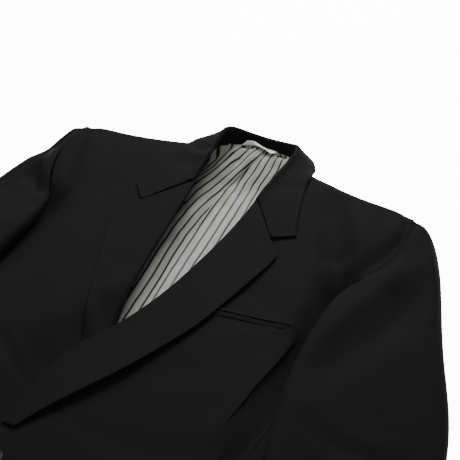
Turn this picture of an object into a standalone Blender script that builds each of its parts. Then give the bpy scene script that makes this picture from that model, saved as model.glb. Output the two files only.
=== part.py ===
"""A tailored jacket laid flat on its back, one closed solid for each piece that a maker cuts and sews.

Metres, +X to the wearer's left, +Y to the collar, +Z up, the floor at z = 0. Sizes and tables are
written with y = 0 at the neck points of the shoulders; the last step moves the whole jacket so that
the origin is in the middle of its footprint. Tables for a pair are written for the wearer's left and
mirrored for the right.
"""

import math

import bpy
import numpy as np
from mathutils import Matrix, Vector
from mathutils.bvhtree import BVHTree

# Gaps between pieces
SEAM = 0.0003  # at a seam
SHOULDER_GAP = 0.0008  # at the shoulder seam, a curve between two sets of straight facets
SOFT_GAP = 0.0008  # under loose cloth that lies on another piece
LAPEL_GAP = 0.0004  # between a lapel and the front it lies on
COLLAR_GAP = 0.0006  # between the stand and the leaf
GORGE_GAP = 0.0008  # between the collar and the lapel's top edge

# Thicknesses
CLOTH = 0.0020  # shell cloth with its canvas or fusing
FACING = 0.0018
COLLAR = 0.0022
LINING = 0.0010
LABEL = 0.0006
POCKET_THICK = 0.0012

# Body
FRONT_COUNT = 19  # rows of points in each panel of the body
FRONT_SHARE = (0, 0.06, 0.17, 0.31, 0.46, 0.61, 0.74, 0.84, 0.92, 0.97, 1.0)
NEAR_EDGE = (0.38, 0.66, 0.86, 0.965)  # extra rows close to a panel's rounded top edge
BACK_COLUMNS = 9
SIDE_HEIGHT = 0.019  # thickness of the body where the sleeves lie on it
SHOULDER_ROUNDING = 0.017
BACK_NECK_SLOPE = 0.060
SIDE_DROP = 0.034  # how far beside the body the under sleeve comes down to the floor
UNDERLAP = 0.0125  # how far the right front sinks where the left front laps over it
ROLL_SETBACK = 0.0042  # from the roll line to the cut edge of the front inside it
BREAK_Y = -0.515
RIGHT_EDGE_SHIFT = 0.012

# Collar
COLLAR_COUNT = 15
COLLAR_TURN = 0.0035  # radius of the roll
RIGHT_COLLAR_LIFT = 0.005  # the collar stands higher over the right shoulder
LIFT_STATION = 5.0
NOTCH_SHARE = 0.60
BEND_START = 0.62  # share of the stations from which the leaf bends to the gorge

# Lining and label
LINING_T = (0.0, 0.6, 0.85, 1.0)
LINING_HALF = (0.055, 0.080, 0.068, 0.050)
LINING_END = -0.345
LINING_BELOW_NECK = 0.0040
LABEL_LEFT = -0.033
LABEL_RIGHT = 0.016
LABEL_LOW = 0.0015
LABEL_HIGH = 0.0110

# Buttons
BUTTON_RADIUS = 0.0100
BUTTON_HEIGHT = 0.0040
BUTTON_SIDES = 24
BUTTON_PROFILE = (
    # share of the radius, share of the height
    (0.93, 0.0),
    (1.0, 0.25),
    (1.0, 0.7),
    (0.9, 1.0),
    (0.76, 0.92),
    (0.66, 0.70),
)

# Settling cloth on what carries it
PROBES = 7  # places looked at along each edge of a facet
CLOSE_ENOUGH = 2e-5
EASE = 0.8  # share of the lack that is made up in each round

# Height of the fronts' outer face along the body, away from the edges
CREST_Y = (-0.770, -0.620, -0.500, -0.400, -0.300, -0.220, -0.160, -0.100, -0.060, -0.020, 0.030)
CREST_Z = (0.0240, 0.0250, 0.0270, 0.0300, 0.0340, 0.0370, 0.0400, 0.0450, 0.0485, 0.0500, 0.0480)

# Outermost line of the shoulders, seen from above
SHOULDER_X = (0.050, 0.060, 0.083, 0.138, 0.197, 0.2265)
SHOULDER_Y = (0.0230, 0.0200, 0.0130, 0.0000, -0.0120, -0.0180)

# Half width of the body at the side folds
WAIST_Y = (-0.770, -0.620, -0.450, -0.350, -0.235, -0.150)
WAIST_X = (0.268, 0.258, 0.248, 0.254, 0.262, 0.262)

# Roll line of each lapel, running on as the front edge below the break
LEFT_ROLL = (
    # x, y
    (0.0500, 0.0180),
    (0.0460, -0.0300),
    (0.0430, -0.0735),
    (0.0415, -0.1100),
    (0.0370, -0.1500),
    (0.0290, -0.2050),
    (0.0200, -0.2500),
    (0.0100, -0.2880),
    (-0.0030, -0.3250),
    (-0.0210, -0.3550),
    (-0.0320, -0.3850),
    (-0.0350, -0.4200),
    (-0.0360, -0.4700),
    (-0.0360, -0.5300),
    (-0.0340, -0.6000),
)
RIGHT_ROLL = (
    # x, y
    (0.0500, 0.0180),
    (0.0460, -0.0300),
    (0.0410, -0.0735),
    (0.0370, -0.1100),
    (0.0335, -0.1500),
    (0.0270, -0.2080),
    (0.0210, -0.2500),
    (0.0162, -0.2880),
    (0.0080, -0.3250),
    (-0.0030, -0.3550),
    (-0.0135, -0.3850),
    (-0.0210, -0.4200),
    (-0.0220, -0.4700),
    (-0.0220, -0.5300),
    (-0.0220, -0.6000),
)

# Lapels: where each row leaves the roll line, where it ends at the edge, and how far the edge lifts
LEFT_LAPEL = (
    # roll y, edge x, edge y, lift
    (-0.0727, 0.1100, -0.1535, 0.0020),
    (-0.0900, 0.1095, -0.1615, 0.0020),
    (-0.1080, 0.1078, -0.1725, 0.0020),
    (-0.1400, 0.1040, -0.1900, 0.0022),
    (-0.1800, 0.0985, -0.2150, 0.0025),
    (-0.2200, 0.0925, -0.2400, 0.0028),
    (-0.2600, 0.0855, -0.2680, 0.0032),
    (-0.3000, 0.0755, -0.3020, 0.0040),
    (-0.3400, 0.0600, -0.3400, 0.0055),
    (-0.3750, 0.0450, -0.3750, 0.0075),
    (-0.4050, 0.0290, -0.4050, 0.0080),
    (-0.4350, 0.0110, -0.4350, 0.0070),
    (-0.4650, -0.0070, -0.4650, 0.0040),
    (-0.4900, -0.0200, -0.4900, 0.0010),
)
RIGHT_LAPEL = (
    # roll y, edge x, edge y, lift
    (-0.0727, 0.1060, -0.1410, 0.0015),
    (-0.0900, 0.1080, -0.1500, 0.0015),
    (-0.1080, 0.1050, -0.1660, 0.0015),
    (-0.1400, 0.0970, -0.1900, 0.0015),
    (-0.1800, 0.0870, -0.2160, 0.0015),
    (-0.2200, 0.0760, -0.2440, 0.0015),
    (-0.2600, 0.0650, -0.2720, 0.0015),
    (-0.3000, 0.0520, -0.3020, 0.0010),
    (-0.3400, 0.0350, -0.3400, 0.0005),
    (-0.3750, 0.0190, -0.3750, 0.0000),
    (-0.4050, 0.0060, -0.4050, 0.0000),
    (-0.4350, -0.0030, -0.4350, 0.0000),
    (-0.4650, -0.0080, -0.4650, 0.0000),
)
LAPEL_INNER_REACH = 0.026  # how far the facing runs back under the front

# Fronts: each row runs from the roll line or front edge to the side seam, armhole or shoulder
FRONT_ROWS = (
    # inner y, outer x, outer y
    (-0.7650, 0.2180, -0.7650),
    (-0.7350, 0.2160, -0.7350),
    (-0.6900, 0.2130, -0.6900),
    (-0.6200, 0.2080, -0.6200),
    (-0.5400, 0.2030, -0.5400),
    (-0.4600, 0.2010, -0.4600),
    (-0.4000, 0.2030, -0.4000),
    (-0.3500, 0.2060, -0.3500),
    (-0.3000, 0.2100, -0.3000),
    (-0.2600, 0.2140, -0.2620),
    (-0.2250, 0.2180, -0.2350),
    (-0.1950, 0.2120, -0.2050),
    (-0.1650, 0.2070, -0.1750),
    (-0.1350, 0.2110, -0.1470),
    (-0.1100, 0.2205, -0.1250),
    (-0.0735, 0.2305, -0.0950),
    (-0.0400, 0.2342, -0.0650),
    (-0.0080, 0.2330, -0.0430),
    (0.0180, 0.2265, -0.0180),
)
CUTAWAY = ((-0.6200, -0.0340), (-0.6900, -0.0200), (-0.7350, 0.0150), (-0.7650, 0.0750))
FRONT_NECK = ((-0.0735, 0.0430), (-0.0400, 0.0465), (0.0000, 0.0530), (0.0180, 0.0560))

# Sleeves: rows from the shoulder to the cuff, from the inner edge to the outer fold
SLEEVE = (
    # inner x, y, z, crown there; outer x, y, z; crown there; inner end of the under sleeve x, y, z
    (0.2265, -0.0180, 0.0245, 0.0490, 0.2430, -0.0205, 0.0240, 0.0420, 0.2271, -0.0180, 0.0000),
    (0.2330, -0.0310, 0.0480, 0.0500, 0.2560, -0.0340, 0.0240, 0.0440, 0.2283, -0.0340, 0.0000),
    (0.2355, -0.0450, 0.0495, 0.0520, 0.2680, -0.0480, 0.0230, 0.0450, 0.2288, -0.0480, 0.0000),
    (0.2372, -0.0650, 0.0490, 0.0530, 0.2800, -0.0710, 0.0210, 0.0440, 0.2288, -0.0750, 0.0000),
    (0.2335, -0.0950, 0.0455, 0.0500, 0.2940, -0.1050, 0.0200, 0.0420, 0.2282, -0.1050, 0.0020),
    (0.2235, -0.1250, 0.0420, 0.0470, 0.3070, -0.1400, 0.0180, 0.0380, 0.2238, -0.1262, 0.0380),
    (0.2070, -0.1520, 0.0380, 0.0440, 0.3200, -0.1750, 0.0160, 0.0340, 0.2085, -0.1528, 0.0363),
    (0.1960, -0.1800, 0.0360, 0.0460, 0.3350, -0.2120, 0.0140, 0.0310, 0.1960, -0.1800, 0.0360),
    (0.1920, -0.2150, 0.0330, 0.0460, 0.3515, -0.2500, 0.0130, 0.0270, 0.1920, -0.2150, 0.0330),
    (0.1925, -0.2600, 0.0310, 0.0450, 0.3670, -0.2920, 0.0120, 0.0230, 0.1925, -0.2600, 0.0310),
    (0.1985, -0.3200, 0.0300, 0.0430, 0.3800, -0.3450, 0.0110, 0.0200, 0.1985, -0.3200, 0.0300),
    (0.2150, -0.4000, 0.0290, 0.0400, 0.3930, -0.4200, 0.0100, 0.0180, 0.2150, -0.4000, 0.0290),
    (0.2400, -0.4800, 0.0260, 0.0350, 0.4080, -0.5000, 0.0090, 0.0170, 0.2400, -0.4800, 0.0260),
    (0.2630, -0.5500, 0.0170, 0.0260, 0.4200, -0.5700, 0.0080, 0.0160, 0.2630, -0.5500, 0.0170),
    (0.2850, -0.6250, 0.0085, 0.0170, 0.4300, -0.6450, 0.0080, 0.0150, 0.2850, -0.6250, 0.0085),
)
ARMHOLE_LOW = -0.1300  # below this the front's armhole lies under the sleeve
ARMHOLE_ROWS = 6  # rows of the table that are sewn to the armhole
FREE_COUNT = 13  # rows made below the armhole
HEAD_Z = 0.0250  # height of the fold at the sleeve head's top line
SLEEVE_ROUNDING = 0.016
SLEEVE_SHARE = np.array([[0, 0.02, 0.08, 0.20, 0.36, 0.54, 0.72, 0.87, 0.97, 1.0]])
SLEEVE_PUFF = 0.10  # how much the middle of the sleeve stands above its crown line
SEAM_REACH = 0.25  # share of the width over which the sleeve rises from the armhole seam
UNDER_HEAD_Z = 0.0230

# The right sleeve's head has collapsed: crown at the inner edge, outer x, y, z and crown there
RIGHT_SLEEVE_SLACK = (-0.0030, -0.0080, -0.0060, -0.0030, -0.0110)

# Collar: stations from the centre back to the gorge, on the face that shows
COLLAR_ROWS = (
    # base x, y, z; roll x, y, z; leaf edge x, y, least z
    (0.0000, 0.0530, 0.0290, 0.0000, 0.0570, 0.0440, 0.0000, 0.0790, 0.0180),
    (0.0200, 0.0510, 0.0300, 0.0210, 0.0550, 0.0460, 0.0270, 0.0770, 0.0200),
    (0.0370, 0.0440, 0.0330, 0.0380, 0.0490, 0.0520, 0.0520, 0.0660, 0.0270),
    (0.0480, 0.0330, 0.0370, 0.0470, 0.0370, 0.0580, 0.0700, 0.0460, 0.0360),
    (0.0550, 0.0180, 0.0420, 0.0490, 0.0190, 0.0595, 0.0840, 0.0170, 0.0430),
    (0.0535, 0.0000, 0.0460, 0.0480, -0.0020, 0.0585, 0.0880, -0.0120, 0.0450),
    (0.0505, -0.0200, 0.0470, 0.0465, -0.0240, 0.0575, 0.0935, -0.0400, 0.0450),
    (0.0470, -0.0400, 0.0465, 0.0450, -0.0440, 0.0560, 0.1000, -0.0660, 0.0430),
    (0.0450, -0.0560, 0.0460, 0.0438, -0.0600, 0.0540, 0.1060, -0.0880, 0.0400),
    (0.0438, -0.0660, 0.0455, 0.0430, -0.0715, 0.0525, 0.1150, -0.1120, 0.0380),
)
GORGE_SHARE = 0.68  # how much of the lapel's top edge is sewn to the collar
LAPEL_DIP = {1: 0.0, -1: -0.0105}  # how far the notch lies below a straight top edge
DIP_ROWS = 4
LAPEL_ACROSS = (0.10, 0.28, 0.48, GORGE_SHARE, 0.86, 1.0)  # from the roll to the lapel's edge
LEAF_ACROSS = (0.10, 0.24, 0.42, NOTCH_SHARE, 0.80, 1.0)  # from the roll to the leaf's edge
COLLAR_TIP = {1: (0.1165, -0.1120), -1: (0.1065, -0.1050)}

# Height of the back's outer face along its top edge: the back neck, then the shoulder seam
TOP_EDGE_X = (0.000, 0.020, 0.037, 0.048, 0.0575, 0.100, 0.140)
TOP_EDGE_Z = (0.0270, 0.0275, 0.0300, 0.0330, 0.0360, 0.0290, 0.0240)
NECK_X = (0.000, 0.020, 0.037, 0.048, 0.0575)
NECK_Y = (0.0522, 0.0503, 0.0434, 0.0325, 0.0208)

# Back above the side seam: each row runs from the centre seam to the armhole or shoulder
BACK_ROWS = (
    # inner y, outer x, outer y
    (-0.2200, 0.2190, -0.2250),
    (-0.1650, 0.2230, -0.1800),
    (-0.1050, 0.2265, -0.1350),
    (-0.0500, 0.2280, -0.0900),
    (-0.0080, 0.2285, -0.0560),
    (0.0220, 0.2280, -0.0380),
    (0.0522, 0.2265, -0.0180),
)
SIDE_TOP = -0.175  # where the side panel ends under the sleeve

# The largest folds of the fronts: from, to, half width, depth (a ridge is negative)
LEFT_FOLDS = (
    # x0, y0, x1, y1, half width, depth
    (0.130, -0.050, 0.165, -0.111, 0.013, 0.0035),
    (0.165, -0.111, 0.190, -0.165, 0.014, 0.0060),
    (0.222, -0.085, 0.200, -0.150, 0.010, 0.0035),
)
RIGHT_FOLDS = (
    # x0, y0, x1, y1, half width, depth
    (0.170, -0.190, 0.178, -0.300, 0.018, 0.0040),
    (0.125, -0.385, 0.055, -0.425, 0.010, 0.0035),
)
# Folds of the sleeves, on the top sleeve only
LEFT_SLEEVE_FOLDS = (
    (0.255, -0.060, 0.240, -0.115, 0.010, 0.0030),
    (0.262, -0.150, 0.300, -0.220, 0.014, 0.0030),
    (0.300, -0.420, 0.260, -0.440, 0.016, 0.0040),
)
RIGHT_SLEEVE_FOLDS = (
    (0.252, -0.060, 0.226, -0.118, 0.012, 0.0060),
    (0.236, -0.098, 0.214, -0.165, 0.010, -0.0060),
    (0.262, -0.120, 0.214, -0.180, 0.010, 0.0070),
    (0.300, -0.420, 0.260, -0.440, 0.016, 0.0040),
)

POCKET = (
    # x, y along the opening, from the lapel to the armhole
    (0.0800, -0.2582),
    (0.1100, -0.2542),
    (0.1450, -0.2496),
    (0.1750, -0.2440),
)
POCKET_LOWER = 0.0062
POCKET_UPPER = 0.0050
BUTTONS = ((-0.0150, -0.5300), (-0.0140, -0.6350))


def smooth(t):
    t = np.clip(t, 0.0, 1.0)
    return t * t * (3 - 2 * t)


def rounding(distance, radius):
    """0 at an edge, rising as a quarter circle to 1 at one radius from it."""
    t = 1 - np.clip(np.asarray(distance, float) / radius, 0.0, 1.0)
    return np.sqrt(np.maximum(1 - t * t, 0.0))


def spline(rows, places):
    """Points on a smooth curve through the rows, at that many equal steps or at the given row numbers."""
    rows = np.array(rows, float)
    at = np.linspace(0, len(rows) - 1, places) if isinstance(places, int) else places
    first = np.minimum(at.astype(int), len(rows) - 2)
    t = (at - first)[:, None]
    padded = np.vstack([2 * rows[0] - rows[1], rows, 2 * rows[-1] - rows[-2]])
    a, b, c, d = (padded[first + k] for k in range(4))
    return b + 0.5 * t * (c - a + t * (2 * a - 5 * b + 4 * c - d + t * (3 * (b - c) + d - a)))


def fold_depth(x, y, folds):
    """How far the cloth sinks at a place, over all folds in a table."""
    total = np.zeros(np.broadcast(x, y).shape)
    for x0, y0, x1, y1, half, depth in folds:
        run = np.array([x1 - x0, y1 - y0])
        along = ((x - x0) * run[0] + (y - y0) * run[1]) / (run @ run)
        held = np.clip(along, 0, 1)
        gap = np.hypot(x - x0 - held * run[0], y - y0 - held * run[1])
        total = total + depth * np.exp(-((gap / half) ** 2))
    return total


def roll_x(side, y):
    """The roll line or front edge of one side, as a distance from the centre towards that side."""
    table = np.array((LEFT_ROLL if side > 0 else RIGHT_ROLL)[::-1])
    return np.interp(y, table[:, 1], table[:, 0])


def side_seam_x(y):
    seam = spline(FRONT_ROWS, FRONT_COUNT)
    return np.interp(y, seam[:, 2], seam[:, 1])


def body_half_width(y):
    return np.interp(y, WAIST_Y, WAIST_X)


def front_top(side, x, y):
    """Height of a front's outer face. x is the distance from the centre towards the front's own side."""
    x, y = np.asarray(x, float), np.asarray(y, float)
    crest = np.interp(y, CREST_Y, CREST_Z)
    crest = crest + 0.004 * smooth((x - 0.14) / 0.07) * smooth((y + 0.13) / 0.07)
    under_sleeve = smooth((-0.130 - y) / 0.045) * smooth((x - 0.168) / 0.032)
    z = crest + (SIDE_HEIGHT - crest) * under_sleeve
    if side:
        z = z - fold_depth(x, y, LEFT_FOLDS if side > 0 else RIGHT_FOLDS)
    if side < 0:
        lapped = -x - (roll_x(1, y) - 0.050)
        z = z - UNDERLAP * smooth(lapped / 0.033) * smooth((-0.22 - y) / 0.05)
    inside = np.interp(x, SHOULDER_X, SHOULDER_Y) - y
    seam = np.interp(x, TOP_EDGE_X, TOP_EDGE_Z)
    return seam + (z - seam) * rounding(inside, SHOULDER_ROUNDING)


def shoulder_share(x):
    """0 at the back neck, where the back slopes up to the collar, and 1 at the shoulders' round edge."""
    return smooth((x - 0.040) / 0.040)


def back_under(x, y):
    """Height of the back's outer face, which rests on the floor and rises to the neck and shoulders."""
    inside = top_edge_y(x) - y
    slope = 1 - smooth(inside / BACK_NECK_SLOPE)
    arc = 1 - rounding(inside, SHOULDER_ROUNDING)
    share = shoulder_share(x)
    return np.interp(x, TOP_EDGE_X, TOP_EDGE_Z) * (slope + (arc - slope) * share)


def body_cover(x, y):
    """Height of the body's upper side where the sleeves lie on it, falling to the floor beside it."""
    height = front_top(0, np.minimum(x, side_seam_x(y)), y)
    half = body_half_width(y)
    fallen = height * (1 - smooth((x - half - 0.002) / SIDE_DROP))
    return fallen * smooth((SIDE_TOP + 0.035 - y) / 0.020)


def grid_normals(points, tangents=None):
    """Unit normals of a grid of points. tangents gives the direction at an edge, by its name."""
    down = np.gradient(points, axis=0)
    across = np.gradient(points, axis=1)
    for edge, direction in (tangents or {}).items():
        direction = np.array(direction, float)
        if edge == "first row":
            down[0] = direction
        elif edge == "last row":
            down[-1] = direction
        elif edge == "first column":
            across[:, 0] = direction
        else:
            across[:, -1] = direction
    normal = np.cross(across, down)
    return normal / np.maximum(np.linalg.norm(normal, axis=2, keepdims=True), 1e-12)


def trimmed(points, edges, gap=SEAM):
    """The grid with the named edges drawn back by half a seam gap."""
    points = points.copy()
    for edge in edges:
        rows = {"first row": (0, 1), "last row": (-1, -2)}.get(edge)
        if rows:
            step = points[rows[1]] - points[rows[0]]
            points[rows[0]] += step * (gap / 2 / np.linalg.norm(step, axis=1, keepdims=True))
            continue
        columns = (0, 1) if edge == "first column" else (-1, -2)
        step = points[:, columns[1]] - points[:, columns[0]]
        length = np.linalg.norm(step, axis=1, keepdims=True)
        points[:, columns[0]] += step * (gap / 2 / length)
    return points


def material(name, colour, roughness):
    made = bpy.data.materials.get(name) or bpy.data.materials.new(name)
    made.use_nodes = True
    shader = made.node_tree.nodes["Principled BSDF"]
    shader.inputs["Base Color"].default_value = (*colour, 1)
    shader.inputs["Roughness"].default_value = roughness
    shader.inputs["Metallic"].default_value = 0
    return made


WOOL = ("black wool", (0.012, 0.012, 0.012), 0.85)
STRIPE = ("striped lining", (0.30, 0.29, 0.27), 0.35)
LABEL_WHITE = ("white label", (0.80, 0.80, 0.80), 0.6)
HORN = ("black button", (0.015, 0.015, 0.015), 0.3)


def add_mesh(name, vertices, faces, finish):
    mesh = bpy.data.meshes.new(name)
    mesh.from_pydata([tuple(v) for v in vertices], [], faces)
    mesh.validate()
    mesh.materials.append(material(*finish))
    mesh.shade_smooth()
    mesh.set_sharp_from_angle(angle=math.radians(40))
    made = bpy.data.objects.new(name, mesh)
    bpy.context.scene.collection.objects.link(made)
    return made


def wall(name, outer, inward, thickness, finish):
    """A closed wall of cloth: the outer face is the grid, the inner face lies inward by its thickness."""
    rows, columns = outer.shape[:2]
    inner = outer + inward * thickness
    vertices = np.vstack([outer.reshape(-1, 3), inner.reshape(-1, 3)])
    count = rows * columns
    faces = []
    for i in range(rows - 1):
        for j in range(columns - 1):
            a = i * columns + j
            b, c, d = a + 1, a + columns + 1, a + columns
            faces += [(a, b, c), (a, c, d)]
            faces += [(c + count, b + count, a + count), (d + count, c + count, a + count)]
    rim = list(range(columns))
    rim += [i * columns + columns - 1 for i in range(1, rows)]
    rim += [(rows - 1) * columns + j for j in range(columns - 2, -1, -1)]
    rim += [i * columns for i in range(rows - 2, 0, -1)]
    for k, a in enumerate(rim):
        b = rim[(k + 1) % len(rim)]
        faces += [(b, a, a + count), (b, a + count, b + count)]
    middle = (rows - 1) // 2 * columns + (columns - 1) // 2
    a, b, c = outer.reshape(-1, 3)[[middle, middle + 1, middle + columns + 1]]
    facing = np.cross(b - a, c - a)
    if facing @ inward.reshape(-1, 3)[middle] > 0:
        faces = [face[::-1] for face in faces]
    return add_mesh(name, vertices, faces, finish)


def mirrored(points, side):
    points = points.copy()
    points[..., 0] *= side
    return points


def into_cloth(normals, reference):
    """The normals, all turned over together if the middle one points away from the reference."""
    middle = normals[normals.shape[0] // 2, normals.shape[1] // 2]
    return normals if middle @ np.array(reference, float) > 0 else -normals


def panel_plan(inner, outer, share, edge_y_at):
    """Rows of points from the inner to the outer line, the last one following the panel's top edge."""
    plan = inner[:, None] + (outer - inner)[:, None] * share[None, :, None]
    missing = edge_y_at(plan[-1, :, 0]) - plan[-1, :, 1]
    reach = smooth((inner[:, 1] - inner[-1, 1] + 0.15) / 0.15)
    plan[..., 1] += reach[:, None] * missing[None, :]
    between = [plan[-2] + (plan[-1] - plan[-2]) * k for k in NEAR_EDGE]
    return np.concatenate([plan[:-1], np.array(between), plan[-1:]])


def side_name(side):
    return "left" if side > 0 else "right"


def shoulder_y(x):
    return np.interp(x, SHOULDER_X, SHOULDER_Y)


def top_edge_y(x):
    return np.where(x < NECK_X[-1], np.interp(x, NECK_X, NECK_Y), shoulder_y(x))


def make_front(side):
    """One front. Also gives its armhole edge, from the shoulder down, and the way into the cloth there."""
    rows = spline(FRONT_ROWS, FRONT_COUNT)
    inner_y, outer = rows[:, 0], rows[:, 1:]
    cut = np.array(CUTAWAY[::-1])
    neck = np.array(FRONT_NECK)
    cut_x = np.interp(inner_y, cut[:, 0], cut[:, 1]) + (0 if side > 0 else RIGHT_EDGE_SHIFT)
    inner_x = np.where(inner_y < CUTAWAY[0][0], cut_x, roll_x(side, inner_y))
    inner_x = np.where(inner_y > FRONT_NECK[0][0], np.interp(inner_y, neck[:, 0], neck[:, 1]), inner_x)
    inner_x = inner_x + ROLL_SETBACK * smooth((inner_y - BREAK_Y) / 0.03)
    inner = np.stack([inner_x, inner_y], axis=1)
    plan = panel_plan(inner, outer, np.array(FRONT_SHARE), shoulder_y)
    points = np.dstack([plan, front_top(side, plan[..., 0], plan[..., 1])])
    normals = into_cloth(grid_normals(points, {"last row": (0, 0, -1)}), (0, 0, -1))
    on_armhole = points[:, -1, 1] > ARMHOLE_LOW
    armhole = points[on_armhole, -1][::-1], normals[on_armhole, -1][::-1]
    points = trimmed(trimmed(points, ["last column"]), ["last row"], SHOULDER_GAP)
    made = wall(f"front_{side_name(side)}", mirrored(points, side), mirrored(normals, side), CLOTH, WOOL)
    return made, armhole


def make_back(side):
    front_rows = spline(FRONT_ROWS, FRONT_COUNT)
    below = front_rows[front_rows[:, 2] < BACK_ROWS[0][2] - 0.005]
    below[:, 0] = below[:, 2]
    rows = np.vstack([below, spline(BACK_ROWS, 7)])
    inner = np.stack([np.full(len(rows), SEAM / 2), rows[:, 0]], axis=1)
    plan = panel_plan(inner, rows[:, 1:], np.linspace(0, 1, BACK_COLUMNS) ** 0.85, top_edge_y)
    points = np.dstack([plan, back_under(plan[..., 0], plan[..., 1])])
    share = shoulder_share(plan[-1, :, 0])[:, None]
    edge = np.array([0, 1, 0.15]) * (1 - share) + np.array([0, 0, 1]) * share
    normals = grid_normals(points, {"last row": edge})
    normals[:, 0, 0] = 0
    points = trimmed(trimmed(points, ["last column"]), ["last row"], SHOULDER_GAP)
    inward = mirrored(into_cloth(normals, (0, 0, 1)), side)
    return wall(f"back_{side_name(side)}", mirrored(points, side), inward, CLOTH, WOOL)


def make_side(side):
    """The side panel, a strip bent round the side fold from the front's seam to the back's seam."""
    rows = spline(FRONT_ROWS, FRONT_COUNT)
    rows = rows[rows[:, 2] < SIDE_TOP]
    turn = np.radians(np.linspace(90, -90, 5))
    back = np.array(BACK_ROWS)
    points = []
    for _, seam_x, y in rows:
        height = float(front_top(0, seam_x, y))
        radius = height / 2
        centre = float(body_half_width(y)) - radius
        back_x = seam_x if y < BACK_ROWS[0][2] else float(np.interp(y, back[:, 2], back[:, 1]))
        section = [(seam_x, height), ((seam_x + centre) / 2, height)]
        section += [(centre + radius * math.cos(a), radius + radius * math.sin(a)) for a in turn]
        section += [((back_x + centre) / 2, 0.0), (back_x, 0.0)]
        points.append([(x, y, z) for x, z in section])
    points = np.array(points)
    normals = grid_normals(points, {"first column": (1, 0, 0), "last column": (-1, 0, 0)})
    points = trimmed(points, ["first column", "last column"])
    inward = mirrored(into_cloth(normals, (-1, 0, 0)), side)
    return wall(f"side_{side_name(side)}", mirrored(points, side), inward, CLOTH, WOOL)


def sleeve_rows(side, armhole):
    """The sleeve's table at the armhole's own corners, and then at equal steps down to the cuff."""
    table = np.array(SLEEVE)
    sewn = np.interp(-armhole[:, 1], -table[:ARMHOLE_ROWS, 1], np.arange(ARMHOLE_ROWS))
    free = np.linspace(ARMHOLE_ROWS - 1, len(table) - 1, FREE_COUNT + 1)[1:]
    rows = spline(table, np.concatenate([sewn, free]))
    if side < 0:
        y = rows[:, 1:2]
        slack = smooth((y + 0.28) / 0.12) * smooth((-0.022 - y) / 0.045)
        rows[:, 3:8] += slack * np.array(RIGHT_SLEEVE_SLACK)
    rise = rounding(armhole[0, 1] - rows[:, 1:2], SHOULDER_ROUNDING)
    inner_crown = HEAD_Z + (rows[:, 3:4] - HEAD_Z) * rise
    outer_crown = HEAD_Z + (rows[:, 7:8] - HEAD_Z) * rise
    return rows[:, 0:3], inner_crown, rows[:, 4:7], outer_crown, rows[:, 8:11]


def sleeve_plan(inner, outer):
    plan = inner[:, None, :2] + (outer - inner)[:, None, :2] * SLEEVE_SHARE[..., None]
    width = np.linalg.norm((outer - inner)[:, :2], axis=1)[:, None]
    radius = np.minimum(SLEEVE_ROUNDING, 0.45 * width)
    return plan, rounding(SLEEVE_SHARE * width, radius), rounding((1 - SLEEVE_SHARE) * width, radius)


def make_top_sleeve(side, armhole):
    edge, edge_inward = armhole
    inner, inner_crown, outer, outer_crown, _ = sleeve_rows(side, edge)
    inner[:len(edge)] = edge
    plan, near_inner, near_outer = sleeve_plan(inner, outer)
    crown = inner_crown + (outer_crown - inner_crown) * SLEEVE_SHARE
    crown = crown + SLEEVE_PUFF * (crown - inner[:1, 2:]) * np.sin(np.pi * SLEEVE_SHARE)
    folds = LEFT_SLEEVE_FOLDS if side > 0 else RIGHT_SLEEVE_FOLDS
    crown = crown - fold_depth(plan[..., 0], plan[..., 1], folds)
    base = inner[:, 2:] + (outer - inner)[:, 2:] * smooth(SLEEVE_SHARE)
    free = smooth((np.arange(len(inner))[:, None] - len(edge) + 4) / 5)
    z = base + (crown - base) * np.minimum(1 - (1 - near_inner) * free, near_outer)
    sewn = len(edge)
    leaving = smooth(SLEEVE_SHARE / SEAM_REACH)
    z[:sewn] = edge[:, 2:] + (z[:sewn] - edge[:, 2:]) * leaving
    points = np.dstack([plan, z])
    edges = {"first row": (0, 0, 1), "first column": (0, 0, 1), "last column": (0, 0, -1)}
    normals = into_cloth(grid_normals(points, edges), (0, 0, -1))
    normals[1:sewn] += (edge_inward[1:, None] - normals[1:sewn]) * (1 - leaving)[..., None]
    normals[0, 0] = edge_inward[0]
    normals[0, -1] = normals[0, -2] + normals[1, -1]
    normals /= np.linalg.norm(normals, axis=2, keepdims=True)
    points = trimmed(trimmed(points, ["first column", "last column"]), ["first row"], SHOULDER_GAP)
    return wall(f"top_sleeve_{side_name(side)}", mirrored(points, side), mirrored(normals, side), CLOTH, WOOL)


def make_under_sleeve(side, armhole, carriers):
    edge = armhole[0]
    _, _, outer, _, inner = sleeve_rows(side, edge)
    plan, near_inner, near_outer = sleeve_plan(inner, outer)
    floor = body_cover(plan[..., 0], plan[..., 1])
    floor = np.where(floor > 0.0002, floor + LAPEL_GAP, 0.0)
    floor = np.maximum(floor, UNDER_HEAD_Z * (1 - rounding(edge[0, 1] - plan[..., 1], SHOULDER_ROUNDING)))
    z = floor + np.maximum(inner[:, 2:] - floor, 0) * (1 - near_inner)
    z = z + (outer[:, 2:] - floor) * (1 - near_outer)
    z[0] = np.minimum(z[0], UNDER_HEAD_Z)
    points = mirrored(np.dstack([plan, z]), side)
    on_body = settle(points[len(edge) - 1:, :-1].copy(), tree_of(*carriers), SOFT_GAP)
    points[len(edge) - 1:, 1:-1] = on_body[:, 1:]
    points = mirrored(points, side)
    inner_way = points[:, 1] - points[:, 0]
    inner_way[len(edge):] = (0, 0, -1)
    edges = {"first row": (0, 0, -1), "first column": inner_way, "last column": (0, 0, 1)}
    normals = grid_normals(points, edges)
    corner = normals[0, -2] + normals[1, -1]
    normals[0, -1] = corner / np.linalg.norm(corner)
    points = trimmed(trimmed(points, ["first column", "last column"]), ["first row"], SHOULDER_GAP)
    inward = mirrored(into_cloth(normals, (0, 0, 1)), side)
    return wall(f"under_sleeve_{side_name(side)}", mirrored(points, side), inward, CLOTH, WOOL)


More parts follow.
